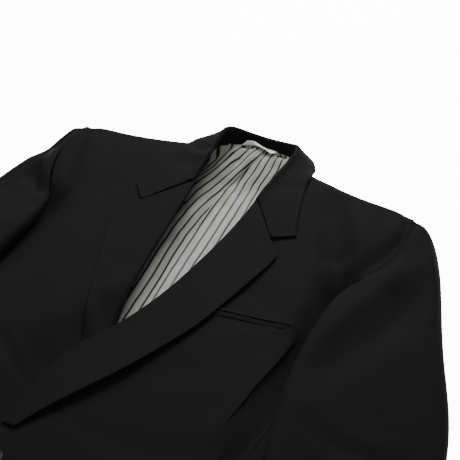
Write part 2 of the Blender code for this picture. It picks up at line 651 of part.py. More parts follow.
def tree_of(*made):
    """One search tree over the triangles of finished pieces."""
    vertices, triangles = [], []
    for piece in made:
        mesh = piece.data
        mesh.calc_loop_triangles()
        start = len(vertices)
        vertices += [v.co.copy() for v in mesh.vertices]
        triangles += [[start + k for k in t.vertices] for t in mesh.loop_triangles]
    return BVHTree.FromPolygons(vertices, triangles)


def height_on(tree, x, y, default, upwards=False):
    """Height of the pieces' top at a place, or of their underside when looked at from below."""
    start = Vector((x, y, -1.0 if upwards else 1.0))
    hit = tree.ray_cast(start, Vector((0, 0, 1.0 if upwards else -1.0)))
    return hit[0].z if hit[0] is not None else default


def settle(face, tree, gap, upwards=False, rounds=14):
    """Move the face's points off the pieces below (or above) until every part of it clears them."""
    sign = -1 if upwards else 1
    inside = [(a / PROBES, b / PROBES) for a in range(PROBES + 1) for b in range(PROBES + 1 - a)]
    for _ in range(rounds):
        need = np.zeros(face.shape[:2])
        for i in range(face.shape[0] - 1):
            for j in range(face.shape[1] - 1):
                for corners in (((0, 0), (0, 1), (1, 1)), ((0, 0), (1, 1), (1, 0))):
                    p, q, r = (face[i + u, j + v] for u, v in corners)
                    lack = 0.0
                    for u, v in inside:
                        at = p + (q - p) * u + (r - p) * v
                        carried = height_on(tree, at[0], at[1], None, upwards)
                        if carried is not None:
                            lack = max(lack, sign * (carried - at[2]) + gap)
                    for u, v in corners:
                        need[i + u, j + v] = max(need[i + u, j + v], lack)
        if need.max() < CLOSE_ENOUGH:
            break
        face[..., 2] += sign * need * EASE
    return face


def make_lapel(side, front):
    """The facing, folded round the roll line: a strip inside the front, the roll, and the lapel on top."""
    table = LEFT_LAPEL if side > 0 else RIGHT_LAPEL
    rows = spline(table, 14)
    radius = CLOTH / 2 + LAPEL_GAP + FACING
    turn = np.radians(np.linspace(-90, -270, 5))
    under_reach = (1.0, 0.5)
    under_count = len(under_reach) + 1
    top_start = under_count + 3
    tree = tree_of(front)
    points = []
    for number, (roll_y, edge_x, edge_y, lift) in enumerate(rows):
        dip = max(0.0, 1 - number / DIP_ROWS)
        x0 = float(roll_x(side, roll_y))
        centre = x0 + radius
        middle = float(front_top(side, centre + 0.004, roll_y)) - CLOTH / 2
        row = []
        for k in under_reach:
            x = centre + 0.003 + LAPEL_INNER_REACH * k
            row.append((x, roll_y, float(front_top(side, x, roll_y)) - CLOTH - LAPEL_GAP - FACING))
        row += [(centre + radius * np.cos(a), roll_y, middle + radius * np.sin(a)) for a in turn]
        for k in LAPEL_ACROSS:
            x = centre + (edge_x - centre) * k
            y = roll_y + (edge_y - roll_y) * k + lapel_bend(side, k) * dip
            z = float(front_top(side, x, y)) + LAPEL_GAP + FACING + lift * k**1.6
            row.append((x, y, z))
        points.append(row)
    points = np.array(points)
    bare = mirrored(points, side)
    top = bare[:, top_start:].copy()
    top[..., 2] -= FACING
    settle(top, tree, LAPEL_GAP)
    under = bare[:, :under_count].copy()
    under[..., 2] += FACING
    settle(under, tree, LAPEL_GAP, upwards=True)
    points[:, top_start:, 2] = top[..., 2] + FACING
    points[:, :under_count, 2] = under[..., 2] - FACING
    inward = grid_normals(points)
    if inward[len(points) // 2, top_start + 2, 2] > 0:
        inward = -inward
    return wall(f"lapel_{side_name(side)}", mirrored(points, side), mirrored(inward, side), FACING, WOOL)


def lapel_bend(side, share):
    """How far the lapel's top edge dips below a straight line, most at the notch."""
    return LAPEL_DIP[side] * min(share / GORGE_SHARE, (1 - share) / (1 - GORGE_SHARE))


def gorge_end(side):
    """Where the collar leaves the lapel's top edge, a seam gap above that edge."""
    roll_y, edge_x, edge_y, _ = (LEFT_LAPEL if side > 0 else RIGHT_LAPEL)[0]
    start = np.array([float(roll_x(side, roll_y)) + 0.0032, roll_y])
    run = np.array([edge_x, edge_y]) - start
    across = np.array([-run[1], run[0]]) / np.hypot(*run)
    return start + run * GORGE_SHARE + across * GORGE_GAP + (0, lapel_bend(side, GORGE_SHARE))


def collar_half(side, carriers):
    """One half of the collar's face that shows: the stand's columns first, then the leaf's."""
    rows = spline(COLLAR_ROWS, COLLAR_COUNT)
    notch, tip = gorge_end(side), np.array(COLLAR_TIP[side])
    tree = tree_of(*carriers)
    points = []
    for k, (bx, by, bz, rx, ry, rz, ex, ey, ez) in enumerate(rows):
        toward = np.array([ex - rx, ey - ry])
        toward = toward / np.hypot(*toward)
        if side < 0:
            lift = RIGHT_COLLAR_LIFT * math.exp(-(((k - LIFT_STATION) / 2) ** 2))
            rz, ez = rz + lift, ez + lift
        low = rz - COLLAR_TURN
        row = [(bx, by, bz), ((bx + rx) / 2, (by + ry) / 2, (bz + low) / 2)]
        for a in np.radians((180, 135, 90, 45)):
            along = COLLAR_TURN * (1 + math.cos(a))
            row.append((rx + toward[0] * along, ry + toward[1] * along, low + COLLAR_TURN * math.sin(a)))
        start = np.array([rx, ry]) + toward * 2 * COLLAR_TURN
        bend_from = COLLAR_COUNT * BEND_START
        bent_share = max(0.0, (k - bend_from) / (COLLAR_COUNT - bend_from - 1)) ** 2
        for s in LEAF_ACROSS:
            straight = start + (np.array([ex, ey]) - start) * s
            if s <= NOTCH_SHARE:
                bent = start + (notch - start) * (s / NOTCH_SHARE)
            else:
                bent = notch + (tip - notch) * ((s - NOTCH_SHARE) / (1 - NOTCH_SHARE))
            x, y = straight + (bent - straight) * bent_share
            z = low + (ez - low) * s
            carried = height_on(tree, side * x, y, None)
            if carried is not None:
                rest = carried + COLLAR + LAPEL_GAP
                z = max(z, rest + (low - rest) * (1 - smooth(s / 0.5)))
            row.append((x, y, z))
        points.append(row)
    return mirrored(np.array(points), side)


def make_collar(carriers):
    """The stand and the leaf, cut apart along a seam just inside the roll, from gorge to gorge."""
    left, right = collar_half(1, carriers), collar_half(-1, carriers)
    face = np.concatenate([right[::-1], left[1:]])
    for _ in range(3):
        inward = grid_normals(face)
        if inward[len(face) // 2, 4, 2] > 0:
            inward = -inward
        under = face[:, 4:] + inward[:, 4:] * COLLAR
        raised = settle(under.copy(), tree_of(*carriers), SOFT_GAP)
        face[:, 4:, 2] += raised[..., 2] - under[..., 2]
    stand = trimmed(face[:, :3], ["last column"], COLLAR_GAP)
    leaf = trimmed(face[:, 2:], ["first column"], COLLAR_GAP)
    made = [wall("collar_stand", stand, inward[:, :3], COLLAR, WOOL)]
    made.append(wall("collar_leaf", leaf, inward[:, 2:], COLLAR, WOOL))
    return made


def make_lining(carriers):
    """The back lining where it shows in the neck, lying on the inside of the back."""
    share = np.linspace(-1, 1, 11)
    tree = tree_of(*carriers)
    rows = []
    for t in np.linspace(0, 1, 13) ** 0.8:
        half = float(np.interp(t, LINING_T, LINING_HALF))
        row = []
        for u in share:
            top = float(np.interp(abs(u) * half, NECK_X, NECK_Y)) - LINING_BELOW_NECK
            y = LINING_END + (top - LINING_END) * t
            row.append((u * half, y, float(back_under(abs(u * half), y)) + CLOTH + LAPEL_GAP))
        rows.append(row)
    points = settle(np.array(rows), tree, SOFT_GAP)
    normals = into_cloth(grid_normals(points), (0, 0, 1))
    return wall("back_lining", points, normals, LINING, STRIPE)


def make_label(stand):
    """A blank woven label on the inside of the stand, made from the stand's own points."""
    tree = tree_of(stand)
    rows = []
    base = np.array(COLLAR_ROWS)[:5]
    for above_base in np.linspace(LABEL_LOW, LABEL_HIGH, 4):
        row = []
        for x in np.linspace(LABEL_LEFT, LABEL_RIGHT, 8):
            z = float(np.interp(abs(x), base[:, 0], base[:, 2])) + above_base
            hit = tree.ray_cast(Vector((x, 0.0, z)), Vector((0, 1, 0)))
            row.append((x, hit[0].y - LAPEL_GAP, z))
        rows.append(row)
    normals = into_cloth(grid_normals(np.array(rows)), (0, -1, 0))
    return wall("neck_label", np.array(rows), normals, LABEL, LABEL_WHITE)


def make_jet(name, below, width, front):
    """One lip of the breast pocket, a narrow strip lying on the left front."""
    opening = spline(POCKET, 13)
    tree = tree_of(front)
    share = (0.0, 0.5, 1.0)
    low = -width - SEAM if below else SEAM
    run = opening[-1] - opening[0]
    across = np.array([-run[1], run[0]]) / np.hypot(*run)
    rows = []
    for along in opening:
        row = []
        for u in share:
            x, y = along + across * (low + width * u)
            row.append((x, y, height_on(tree, x, y, 0.0) + SEAM))
        rows.append(row)
    points = settle(np.array(rows), tree, SEAM)
    normals = into_cloth(grid_normals(points), (0, 0, 1))
    return wall(name, points, normals, POCKET_THICK, WOOL)


def make_button(name, x, y, front):
    """A turned button: flat back, rounded rim and a shallow dish, four holes left to the finish."""
    tree = tree_of(front)
    turns = [2 * math.pi * k / BUTTON_SIDES for k in range(BUTTON_SIDES)]
    rim = [(x + BUTTON_RADIUS * math.cos(a), y + BUTTON_RADIUS * math.sin(a)) for a in turns]
    base = max(height_on(tree, px, py, 0.0) for px, py in [*rim, (x, y)]) + SEAM
    vertices = []
    for share, height in BUTTON_PROFILE:
        z = base + BUTTON_HEIGHT * height
        vertices += [(x + (px - x) * share, y + (py - y) * share, z) for px, py in rim]
    faces = []
    for start in range(0, (len(BUTTON_PROFILE) - 1) * BUTTON_SIDES, BUTTON_SIDES):
        for k in range(BUTTON_SIDES):
            a, b = start + k, start + (k + 1) % BUTTON_SIDES
            faces.append((a, b, b + BUTTON_SIDES, a + BUTTON_SIDES))
    faces.append(tuple(range(BUTTON_SIDES))[::-1])
    faces.append(tuple(range(len(vertices) - BUTTON_SIDES, len(vertices))))
    return add_mesh(name, vertices, faces, HORN)


for old in list(bpy.data.objects):
    bpy.data.objects.remove(old)
pieces = {}
for each_side in (1, -1):
    front, front_armhole = make_front(each_side)
    pieces["front", each_side] = front
    pieces["back", each_side] = make_back(each_side)
    make_top_sleeve(each_side, front_armhole)
    make_under_sleeve(each_side, front_armhole, [front, make_side(each_side)])
    make_lapel(each_side, front)
collar_stand, collar_leaf = make_collar([pieces["front", 1], pieces["front", -1]])
make_label(collar_stand)
make_lining([pieces["back", 1], pieces["back", -1]])
make_jet("pocket_lower_jet", True, POCKET_LOWER, pieces["front", 1])
make_jet("pocket_upper_jet", False, POCKET_UPPER, pieces["front", 1])
for button_name, (button_x, button_y) in zip(("button_upper", "button_lower"), BUTTONS):
    make_button(button_name, button_x, button_y, pieces["front", 1])

every = np.array([v.co for piece in bpy.data.objects for v in piece.data.vertices])
middle = (every.min(axis=0) + every.max(axis=0)) / 2
for piece in bpy.data.objects:
    piece.data.transform(Matrix.Translation((-middle[0], -middle[1], -every[:, 2].min())))
    piece.data.update()
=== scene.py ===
# %% [markdown]
# # A black tailored jacket, laid flat on its back
#
# This lesson dresses a finished CAD model of a jacket. The CAD model already has every panel as a
# closed wall of cloth in its true place, so here each panel becomes a finer and softer piece of cloth
# with its creases, and gets its own finish: matt black wool, a grey satin lining with thin dark
# stripes, a blank white label, and two black buttons.
#
# The first cell loads the CAD model as a fixed frame. Nothing in it is moved. Every new piece takes
# its place from it.

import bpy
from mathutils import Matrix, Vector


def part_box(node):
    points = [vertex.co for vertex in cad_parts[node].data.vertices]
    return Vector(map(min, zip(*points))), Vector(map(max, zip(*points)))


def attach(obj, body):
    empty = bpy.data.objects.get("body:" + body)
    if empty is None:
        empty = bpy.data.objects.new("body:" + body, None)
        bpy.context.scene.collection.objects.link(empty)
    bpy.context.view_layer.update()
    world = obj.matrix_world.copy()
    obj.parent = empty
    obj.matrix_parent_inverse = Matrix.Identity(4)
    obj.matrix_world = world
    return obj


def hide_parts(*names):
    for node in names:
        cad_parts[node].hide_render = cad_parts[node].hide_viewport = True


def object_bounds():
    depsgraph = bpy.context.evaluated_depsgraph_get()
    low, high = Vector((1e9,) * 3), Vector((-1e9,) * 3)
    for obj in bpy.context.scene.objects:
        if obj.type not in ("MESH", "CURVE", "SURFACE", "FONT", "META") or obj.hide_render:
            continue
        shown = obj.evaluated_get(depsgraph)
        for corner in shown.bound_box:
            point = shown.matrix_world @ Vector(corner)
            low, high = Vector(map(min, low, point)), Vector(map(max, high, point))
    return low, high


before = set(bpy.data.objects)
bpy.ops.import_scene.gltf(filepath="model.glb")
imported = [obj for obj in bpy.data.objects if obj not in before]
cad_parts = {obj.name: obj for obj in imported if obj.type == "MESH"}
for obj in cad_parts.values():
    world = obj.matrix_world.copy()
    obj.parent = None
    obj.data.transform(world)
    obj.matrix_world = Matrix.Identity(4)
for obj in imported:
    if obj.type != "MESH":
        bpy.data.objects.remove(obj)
cad_low, cad_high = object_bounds()
print("CAD box in metres:", [round(v, 4) for v in (*cad_low, *cad_high)])

# %% [markdown]
# ## Where things are
#
# A tailor measures a jacket from the points where the shoulder seams meet the neck. All tables below
# do the same: y is 0 at those points and runs down the body as a negative number. The top edge of the
# collar is a known distance above them, so the CAD box gives their place in the frame.

# %% Measure from the neck points
import math

import bmesh
import bpy
import numpy as np
from mathutils import Matrix, Vector, noise
from mathutils.bvhtree import BVHTree

COLLAR_TOP_ABOVE_NECK = 0.0798
neck_y = cad_high[1] - COLLAR_TOP_ABOVE_NECK
print(f"The neck points lie at y = {neck_y:.4f} m")

# %% [markdown]
# ## The camera
#
# The jacket is seen from its hem side, a little from the wearer's left, about 39 degrees above the
# table. A long lens keeps the perspective weak. The camera looks at the middle of the chest. Its three
# axes are worked out from those angles, because that keeps the small tilt of the picture exact.

# %% Place the camera
VIEW_ROUND = math.radians(28.06)
VIEW_ABOVE = math.radians(38.79)
VIEW_TILT = math.radians(-1.4)
VIEW_DISTANCE = 1.3371
LENS, SENSOR_WIDTH = 86.5, 36  # both in millimetres
LOOK_AT = Vector((0.0315, neck_y - 0.1177, 0.030))

backwards = Vector((
    math.sin(VIEW_ROUND) * math.cos(VIEW_ABOVE),
    -math.cos(VIEW_ROUND) * math.cos(VIEW_ABOVE),
    math.sin(VIEW_ABOVE),
))
level = Vector((math.cos(VIEW_ROUND), math.sin(VIEW_ROUND), 0))
upright = backwards.cross(level)
to_right = level * math.cos(VIEW_TILT) + upright * math.sin(VIEW_TILT)
to_top = upright * math.cos(VIEW_TILT) - level * math.sin(VIEW_TILT)

camera_data = bpy.data.cameras.new("camera")
camera_data.lens = LENS
camera_data.sensor_width = SENSOR_WIDTH
camera = bpy.data.objects.new("camera", camera_data)
bpy.context.scene.collection.objects.link(camera)
turned = Matrix((to_right, to_top, backwards)).transposed().to_4x4()
camera.matrix_world = Matrix.Translation(LOOK_AT + backwards * VIEW_DISTANCE) @ turned
bpy.context.scene.camera = camera
print("Camera at", [round(v, 3) for v in camera.matrix_world.translation])

# %% [markdown]
# ## Helpers for every piece
#
# Some steps come back for every piece: a bmesh becomes an object, a material gets its shader, and small
# sums are done between nodes. Each is a helper here, so that the later cells stay short.

# %% Helpers for objects, materials and sums
def new_object(name, cloth, finish=None):
    """A mesh object from a bmesh, smooth shaded, at the origin."""
    mesh = bpy.data.meshes.new(name)
    cloth.to_mesh(mesh)
    cloth.free()
    made = bpy.data.objects.new(name, mesh)
    bpy.context.scene.collection.objects.link(made)
    if finish:
        mesh.materials.append(finish)
    mesh.shade_smooth()
    return made


def shader_of(name):
    """A new material with its Principled shader."""
    made = bpy.data.materials.new(name)
    made.use_nodes = True
    return made, made.node_tree, made.node_tree.nodes["Principled BSDF"]


def math_node(tree, operation, first, second=None, clamp=False):
    """One sum between nodes or numbers. Returns its output."""
    node = tree.nodes.new("ShaderNodeMath")
    node.operation = operation
    node.use_clamp = clamp
    for socket, value in zip(node.inputs, (first, second)):
        if value is None:
            continue
        if isinstance(value, (int, float)):
            socket.default_value = value
        else:
            tree.links.new(value, socket)
    return node.outputs[0]


def scaled(tree, value, factor, base, clamp=False):
    """The value times a factor, plus a base."""
    return math_node(tree, "ADD", math_node(tree, "MULTIPLY", value, factor), base, clamp)


print("Helpers ready:", new_object.__name__, shader_of.__name__, math_node.__name__, scaled.__name__)

# %% [markdown]
# ## The table top
#
# The jacket lies on a plain white surface. A small bmesh grid makes the table top. It glows as white
# paper does in a light tent, and more strongly where the camera sees it. A surface that is only lit
# would come out grey beside black wool, or would need lamps that wash out the cloth. Under the body
# and the armholes nothing glows, so the thin gaps there stay as dark as in real cloth.

# %% Make the table top
TABLE_HALF = 6.0
GLOW_ON_CLOTH, GLOW_SEEN = 0.5, 12.0  # what it lends the cloth, and what the camera sees
COVERED = (
    # half width, lowest y and highest y from the neck points, all under the jacket
    (0.200, -0.735, -0.030),
    (0.262, -0.250, -0.070),
    (0.058, -0.040, 0.045),
    (0.010, -0.762, -0.730),
)
paper, paper_tree, paper_shader = shader_of("white table")
paper_shader.inputs["Base Color"].default_value = (0.93, 0.93, 0.93, 1)
paper_shader.inputs["Roughness"].default_value = 0.9
paper_shader.inputs["Emission Color"].default_value = (1, 1, 1, 1)
ray = paper_tree.nodes.new("ShaderNodeLightPath")
glow = paper_tree.nodes.new("ShaderNodeMapRange")
glow.inputs["To Min"].default_value = GLOW_ON_CLOTH
glow.inputs["To Max"].default_value = GLOW_SEEN
paper_tree.links.new(ray.outputs["Is Camera Ray"], glow.inputs["Value"])
paper_place = paper_tree.nodes.new("ShaderNodeTexCoord")
paper_parts = paper_tree.nodes.new("ShaderNodeSeparateXYZ")
paper_tree.links.new(paper_place.outputs["Object"], paper_parts.inputs[0])
off_centre = math_node(paper_tree, "ABSOLUTE", paper_parts.outputs["X"])
strength = glow.outputs["Result"]
for half_width, low_y, high_y in COVERED:
    middle_y = neck_y + (low_y + high_y) / 2
    off_middle = math_node(paper_tree, "SUBTRACT", paper_parts.outputs["Y"], middle_y)
    off_middle = math_node(paper_tree, "ABSOLUTE", off_middle)
    beside = math_node(paper_tree, "GREATER_THAN", off_centre, half_width)
    beyond = math_node(paper_tree, "GREATER_THAN", off_middle, (high_y - low_y) / 2)
    open_here = math_node(paper_tree, "MAXIMUM", beside, beyond)
    strength = math_node(paper_tree, "MULTIPLY", strength, open_here)
paper_tree.links.new(strength, paper_shader.inputs["Emission Strength"])

table_top = bmesh.new()
bmesh.ops.create_grid(table_top, x_segments=2, y_segments=2, size=TABLE_HALF)
table_top = new_object("table_top", table_top, paper)
print("Table top", TABLE_HALF * 2, "m wide")

# %% [markdown]
# ## The light
#
# Three wide area lamps light the jacket. The main one stands beyond the collar, a little to the
# wearer's right, so the edges of lapels and collar throw narrow soft shadows towards the hem. A second
# one fills in from the front, and a faint one from the side. Small lamps or a sun would draw hard
# shadows, which cloth in a light tent never has. A pale world fills what is left.

# %% Hang the lamps
ROOM_LIGHT = 0.22
LAMPS = (
    # name, x, y, z, width, power
    ("main_lamp", -0.22, 1.10, 1.05, 0.90, 21.5),
    ("front_lamp", 0.90, -1.60, 1.90, 1.60, 15.0),
    ("side_lamp", -1.50, 0.20, 0.90, 1.00, 2.0),
)
for lamp_name, x, y, z, width, power in LAMPS:
    lamp_data = bpy.data.lights.new(lamp_name, "AREA")
    lamp_data.size = width
    lamp_data.energy = power
    lamp = bpy.data.objects.new(lamp_name, lamp_data)
    bpy.context.scene.collection.objects.link(lamp)
    lamp.location = (x, y, z)
    lamp.rotation_euler = (LOOK_AT - lamp.location).to_track_quat("-Z", "Y").to_euler()

world = bpy.data.worlds.new("pale room")
bpy.context.scene.world = world
world.use_nodes = True
background = world.node_tree.nodes["Background"]
background.inputs["Color"].default_value = (1, 1, 1, 1)
background.inputs["Strength"].default_value = ROOM_LIGHT
print(len(LAMPS), "lamps hung")

# %% [markdown]
# ## The weave, as one shader group
#
# Wool suiting is a fine twill: yarns less than half a millimetre apart, stepping one place over in each
# row, which draws faint diagonal lines. The lining is a much finer satin, and the label a narrow tape.
# All three are the same idea with other numbers, so one node group draws it. It reads the cloth's own
# UV map, in metres along the grain, so the pattern turns with the sleeve or the lapel.

# %% Build the weave group
CROSSING_HEIGHT, WARP_HEIGHT, MIDDLE_HEIGHT = 0.3, 0.2, 0.5
weave = bpy.data.node_groups.new("weave", "ShaderNodeTree")
weave.interface.new_socket("Cloth", in_out="INPUT", socket_type="NodeSocketVector")
for socket_name, start in (("Yarns per metre", 2200.0), ("Twill step", 0.5)):
    socket = weave.interface.new_socket(socket_name, in_out="INPUT", socket_type="NodeSocketFloat")
    socket.default_value = start
weave.interface.new_socket("Height", in_out="OUTPUT", socket_type="NodeSocketFloat")
weave.interface.new_socket("Nap", in_out="OUTPUT", socket_type="NodeSocketFloat")

entry = weave.nodes.new("NodeGroupInput")
leave = weave.nodes.new("NodeGroupOutput")
parts = weave.nodes.new("ShaderNodeSeparateXYZ")
weave.links.new(entry.outputs["Cloth"], parts.inputs[0])
yarn_turn = math_node(weave, "MULTIPLY", entry.outputs["Yarns per metre"], math.pi)
across = math_node(weave, "MULTIPLY", parts.outputs["X"], yarn_turn)
along = math_node(weave, "MULTIPLY", parts.outputs["Y"], yarn_turn)
stepped = math_node(weave, "MULTIPLY", along, entry.outputs["Twill step"])
warp = math_node(weave, "SINE", math_node(weave, "ADD", across, stepped))
weft = math_node(weave, "SINE", along)
crossing = math_node(weave, "MULTIPLY", warp, weft)
raised = scaled(weave, crossing, CROSSING_HEIGHT, MIDDLE_HEIGHT)
weave.links.new(scaled(weave, warp, WARP_HEIGHT, raised), leave.inputs["Height"])

nap = weave.nodes.new("ShaderNodeTexNoise")
nap.inputs["Scale"].default_value = 60
nap.inputs["Detail"].default_value = 5
nap.inputs["Roughness"].default_value = 0.65
weave.links.new(entry.outputs["Cloth"], nap.inputs["Vector"])
weave.links.new(nap.outputs["Fac"], leave.inputs["Nap"])
print("Weave group with", len(weave.nodes), "nodes")

# %% [markdown]
# ## The finishes
#
# Black wool isn't black: it is a very dark warm grey, a little lighter where the nap is brushed up, and
# it has a weak velvet-like sheen at grazing angles. The lining's satin is smoother and catches light
# along its folds. Only colours and heights that change over the surface come through nodes. Numbers
# that are the same all over are set on the shader itself.

# %% A helper that lays a weave into a material
CLOTH_UV = "grain"
BUMP_STRENGTH = 0.5


def woven(name, yarns, twill_step, depth):
    """A material with the weave as its bump. Returns it with its tree, shader and group."""
    made, tree, shader = shader_of(name)
    grain = tree.nodes.new("ShaderNodeUVMap")
    grain.uv_map = CLOTH_UV
    cloth = tree.nodes.new("ShaderNodeGroup")
    cloth.node_tree = weave
    cloth.inputs["Yarns per metre"].default_value = yarns
    cloth.inputs["Twill step"].default_value = twill_step
    tree.links.new(grain.outputs["UV"], cloth.inputs["Cloth"])
    bump = tree.nodes.new("ShaderNodeBump")
    bump.inputs["Strength"].default_value = BUMP_STRENGTH
    bump.inputs["Distance"].default_value = depth
    tree.links.new(cloth.outputs["Height"], bump.inputs["Height"])
    tree.links.new(bump.outputs["Normal"], shader.inputs["Normal"])
    return made, tree, shader, cloth


def mixed(tree, share, first, second):
    """A colour between two, by a share from 0 to 1."""
    mix = tree.nodes.new("ShaderNodeMix")
    mix.data_type = "RGBA"
    tree.links.new(share, mix.inputs["Factor"])
    for socket, colour in ((mix.inputs["A"], first), (mix.inputs["B"], second)):
        if isinstance(colour, tuple):
            socket.default_value = (*colour, 1)
        else:
            tree.links.new(colour, socket)
    return mix.outputs["Result"]


print("Cloth materials read the UV map", CLOTH_UV)

# %% Black wool
WOOL_DARK = (0.0050, 0.0049, 0.0047)
WOOL_LIGHT = (0.0125, 0.0122, 0.0115)
NAP_CONTRAST, NAP_OFFSET = 0.8, -0.1
NAP_PART, YARN_PART = 0.6, 0.5
WOOL_ROUGH_NAP, WOOL_ROUGH = 0.2, 0.72

wool, tree, shader, cloth = woven("black wool twill", 2400, 0.5, 0.00012)
nap_share = scaled(tree, cloth.outputs["Nap"], NAP_CONTRAST, NAP_OFFSET)
yarn_share = math_node(tree, "MULTIPLY", cloth.outputs["Height"], YARN_PART)
share = scaled(tree, nap_share, NAP_PART, yarn_share, clamp=True)
tree.links.new(mixed(tree, share, WOOL_DARK, WOOL_LIGHT), shader.inputs["Base Color"])
roughness = scaled(tree, cloth.outputs["Nap"], WOOL_ROUGH_NAP, WOOL_ROUGH)
tree.links.new(roughness, shader.inputs["Roughness"])
shader.inputs["Specular IOR Level"].default_value = 0.10
shader.inputs["Sheen Weight"].default_value = 0.012
shader.inputs["Sheen Roughness"].default_value = 0.45
shader.inputs["Sheen Tint"].default_value = (0.9, 0.9, 0.88, 1)
print("Made", wool.name)

# %% [markdown]
# The stripes of the satin are woven in, so they follow the cloth through the tuck. They read a second
# UV map that counts in stripes: at every whole number lies the middle of a stripe. A striped picture
# would do too, but a few sums stay sharp at any distance.

# %% Striped satin
STRIPE_SHARE = 0.25  # of the way from one stripe to the next
STRIPE_EDGE = 30.0  # the higher, the sharper the stripe's edge
SATIN = (0.455, 0.443, 0.418)
SATIN_DULL = (0.310, 0.300, 0.280)
STRIPE_COLOUR = (0.007, 0.0065, 0.006)
SATIN_ROUGH_NAP, SATIN_ROUGH = 0.18, 0.36

satin, tree, shader, cloth = woven("grey striped satin", 5200, 0.2, 0.00004)
stripe_uv = tree.nodes.new("ShaderNodeUVMap")
stripe_uv.uv_map = "stripes"
stripe_parts = tree.nodes.new("ShaderNodeSeparateXYZ")
tree.links.new(stripe_uv.outputs["UV"], stripe_parts.inputs[0])
place = math_node(tree, "FRACT", math_node(tree, "ADD", stripe_parts.outputs["X"], 0.5))
off_middle = math_node(tree, "ABSOLUTE", math_node(tree, "SUBTRACT", place, 0.5))
inside = math_node(tree, "SUBTRACT", STRIPE_SHARE / 2, off_middle)
stripe_mask = scaled(tree, inside, STRIPE_EDGE, 0.5, clamp=True)
ground = mixed(tree, cloth.outputs["Nap"], SATIN_DULL, SATIN)
tree.links.new(mixed(tree, stripe_mask, ground, STRIPE_COLOUR), shader.inputs["Base Color"])
roughness = scaled(tree, cloth.outputs["Nap"], SATIN_ROUGH_NAP, SATIN_ROUGH)
tree.links.new(roughness, shader.inputs["Roughness"])
shader.inputs["Specular IOR Level"].default_value = 0.36
shader.inputs["Sheen Weight"].default_value = 0.04
shader.inputs["Sheen Roughness"].default_value = 0.3
print("Made", satin.name)

# %% [markdown]
# The small parts have finishes of their own: the label is a white tape with a plain weave, the buttons
# are black horn with faint streaks, and the thread is twisted. Noise and waves on the object's own
# coordinates draw the streaks and the twist, because a turned disc needs no UV map.

# %% Label tape, button and thread
TAPE_LOW, TAPE_HIGH = (0.86, 0.86, 0.86), (0.95, 0.95, 0.94)
HORN_DARK, HORN_LIGHT = (0.008, 0.008, 0.008), (0.030, 0.027, 0.024)
HORN_ROUGH_STREAK, HORN_ROUGH = 0.2, 0.22
THREAD_DARK, THREAD_LIGHT = (0.008, 0.008, 0.008), (0.022, 0.021, 0.020)

tape, tree, shader, cloth = woven("white label tape", 4200, 0.0, 0.00006)
tape_colour = mixed(tree, cloth.outputs["Height"], TAPE_LOW, TAPE_HIGH)
tree.links.new(tape_colour, shader.inputs["Base Color"])
shader.inputs["Roughness"].default_value = 0.55
shader.inputs["Sheen Weight"].default_value = 0.1

horn, tree, shader = shader_of("black horn")
position = tree.nodes.new("ShaderNodeTexCoord")
streaks = tree.nodes.new("ShaderNodeTexNoise")
streaks.inputs["Scale"].default_value = 260
streaks.inputs["Distortion"].default_value = 1.6
tree.links.new(position.outputs["Object"], streaks.inputs["Vector"])
horn_colour = mixed(tree, streaks.outputs["Fac"], HORN_DARK, HORN_LIGHT)
tree.links.new(horn_colour, shader.inputs["Base Color"])
roughness = scaled(tree, streaks.outputs["Fac"], HORN_ROUGH_STREAK, HORN_ROUGH)
tree.links.new(roughness, shader.inputs["Roughness"])

thread, tree, shader = shader_of("black thread")
position = tree.nodes.new("ShaderNodeTexCoord")
twist = tree.nodes.new("ShaderNodeTexWave")
twist.inputs["Scale"].default_value = 900
tree.links.new(position.outputs["Object"], twist.inputs["Vector"])
thread_colour = mixed(tree, twist.outputs["Fac"], THREAD_DARK, THREAD_LIGHT)
tree.links.new(thread_colour, shader.inputs["Base Color"])
shader.inputs["Roughness"].default_value = 0.6
print("Made", tape.name, horn.name, thread.name)

# %% [markdown]
# ## From a CAD wall to soft cloth
#
# The CAD panels have the right outline, rise and thickness, but they are faceted. Modelling each panel
# again would only risk a worse fit. So a copy of each CAD panel is merged, its triangles are joined to
# quads, and a Subdivision Surface rounds it. The sharp edges round each panel are creased first, so
# that the panel keeps its cut edge and still meets its neighbour at the seam. Subdivision alone pulls a
# surface away from the points that it is made from, so the cage is moved the other way a few times,
# until the round cloth passes through the CAD panel's own points.

# %% A helper that copies a panel and rounds it
MERGE = 1e-6
WALL_TOLERANCE = 0.00003
CORNER_TURN = math.radians(40)  # the cut edge turns a corner here
FITTING_ROUNDS = 5


def points_of(mesh):
    """All points of a mesh as rows of x, y and z."""
    flat = np.empty(len(mesh.vertices) * 3)
    mesh.vertices.foreach_get("co", flat)
    return flat.reshape(-1, 3)


def set_points(mesh, points):
    """Puts such rows back into the mesh."""
    mesh.vertices.foreach_set("co", points.ravel())
    mesh.update()


def evaluated(piece):
    """A new mesh of the piece with its modifiers in it."""
    seen = piece.evaluated_get(bpy.context.evaluated_depsgraph_get())
    return bpy.data.meshes.new_from_object(seen)


def mark_cut_edges(cloth, wall):
    """Marks as seams the edges round the narrow faces that are as wide as the wall is thick."""
    through = {edge for edge in cloth.edges if abs(edge.calc_length() - wall) < WALL_TOLERANCE}
    rim = {face for edge in through for face in edge.link_faces}
    for edge in cloth.edges:
        on_rim = sum(face in rim for face in edge.link_faces)
        edge.seam = on_rim == 1 or (edge in through and edge.calc_face_angle(0) > CORNER_TURN)


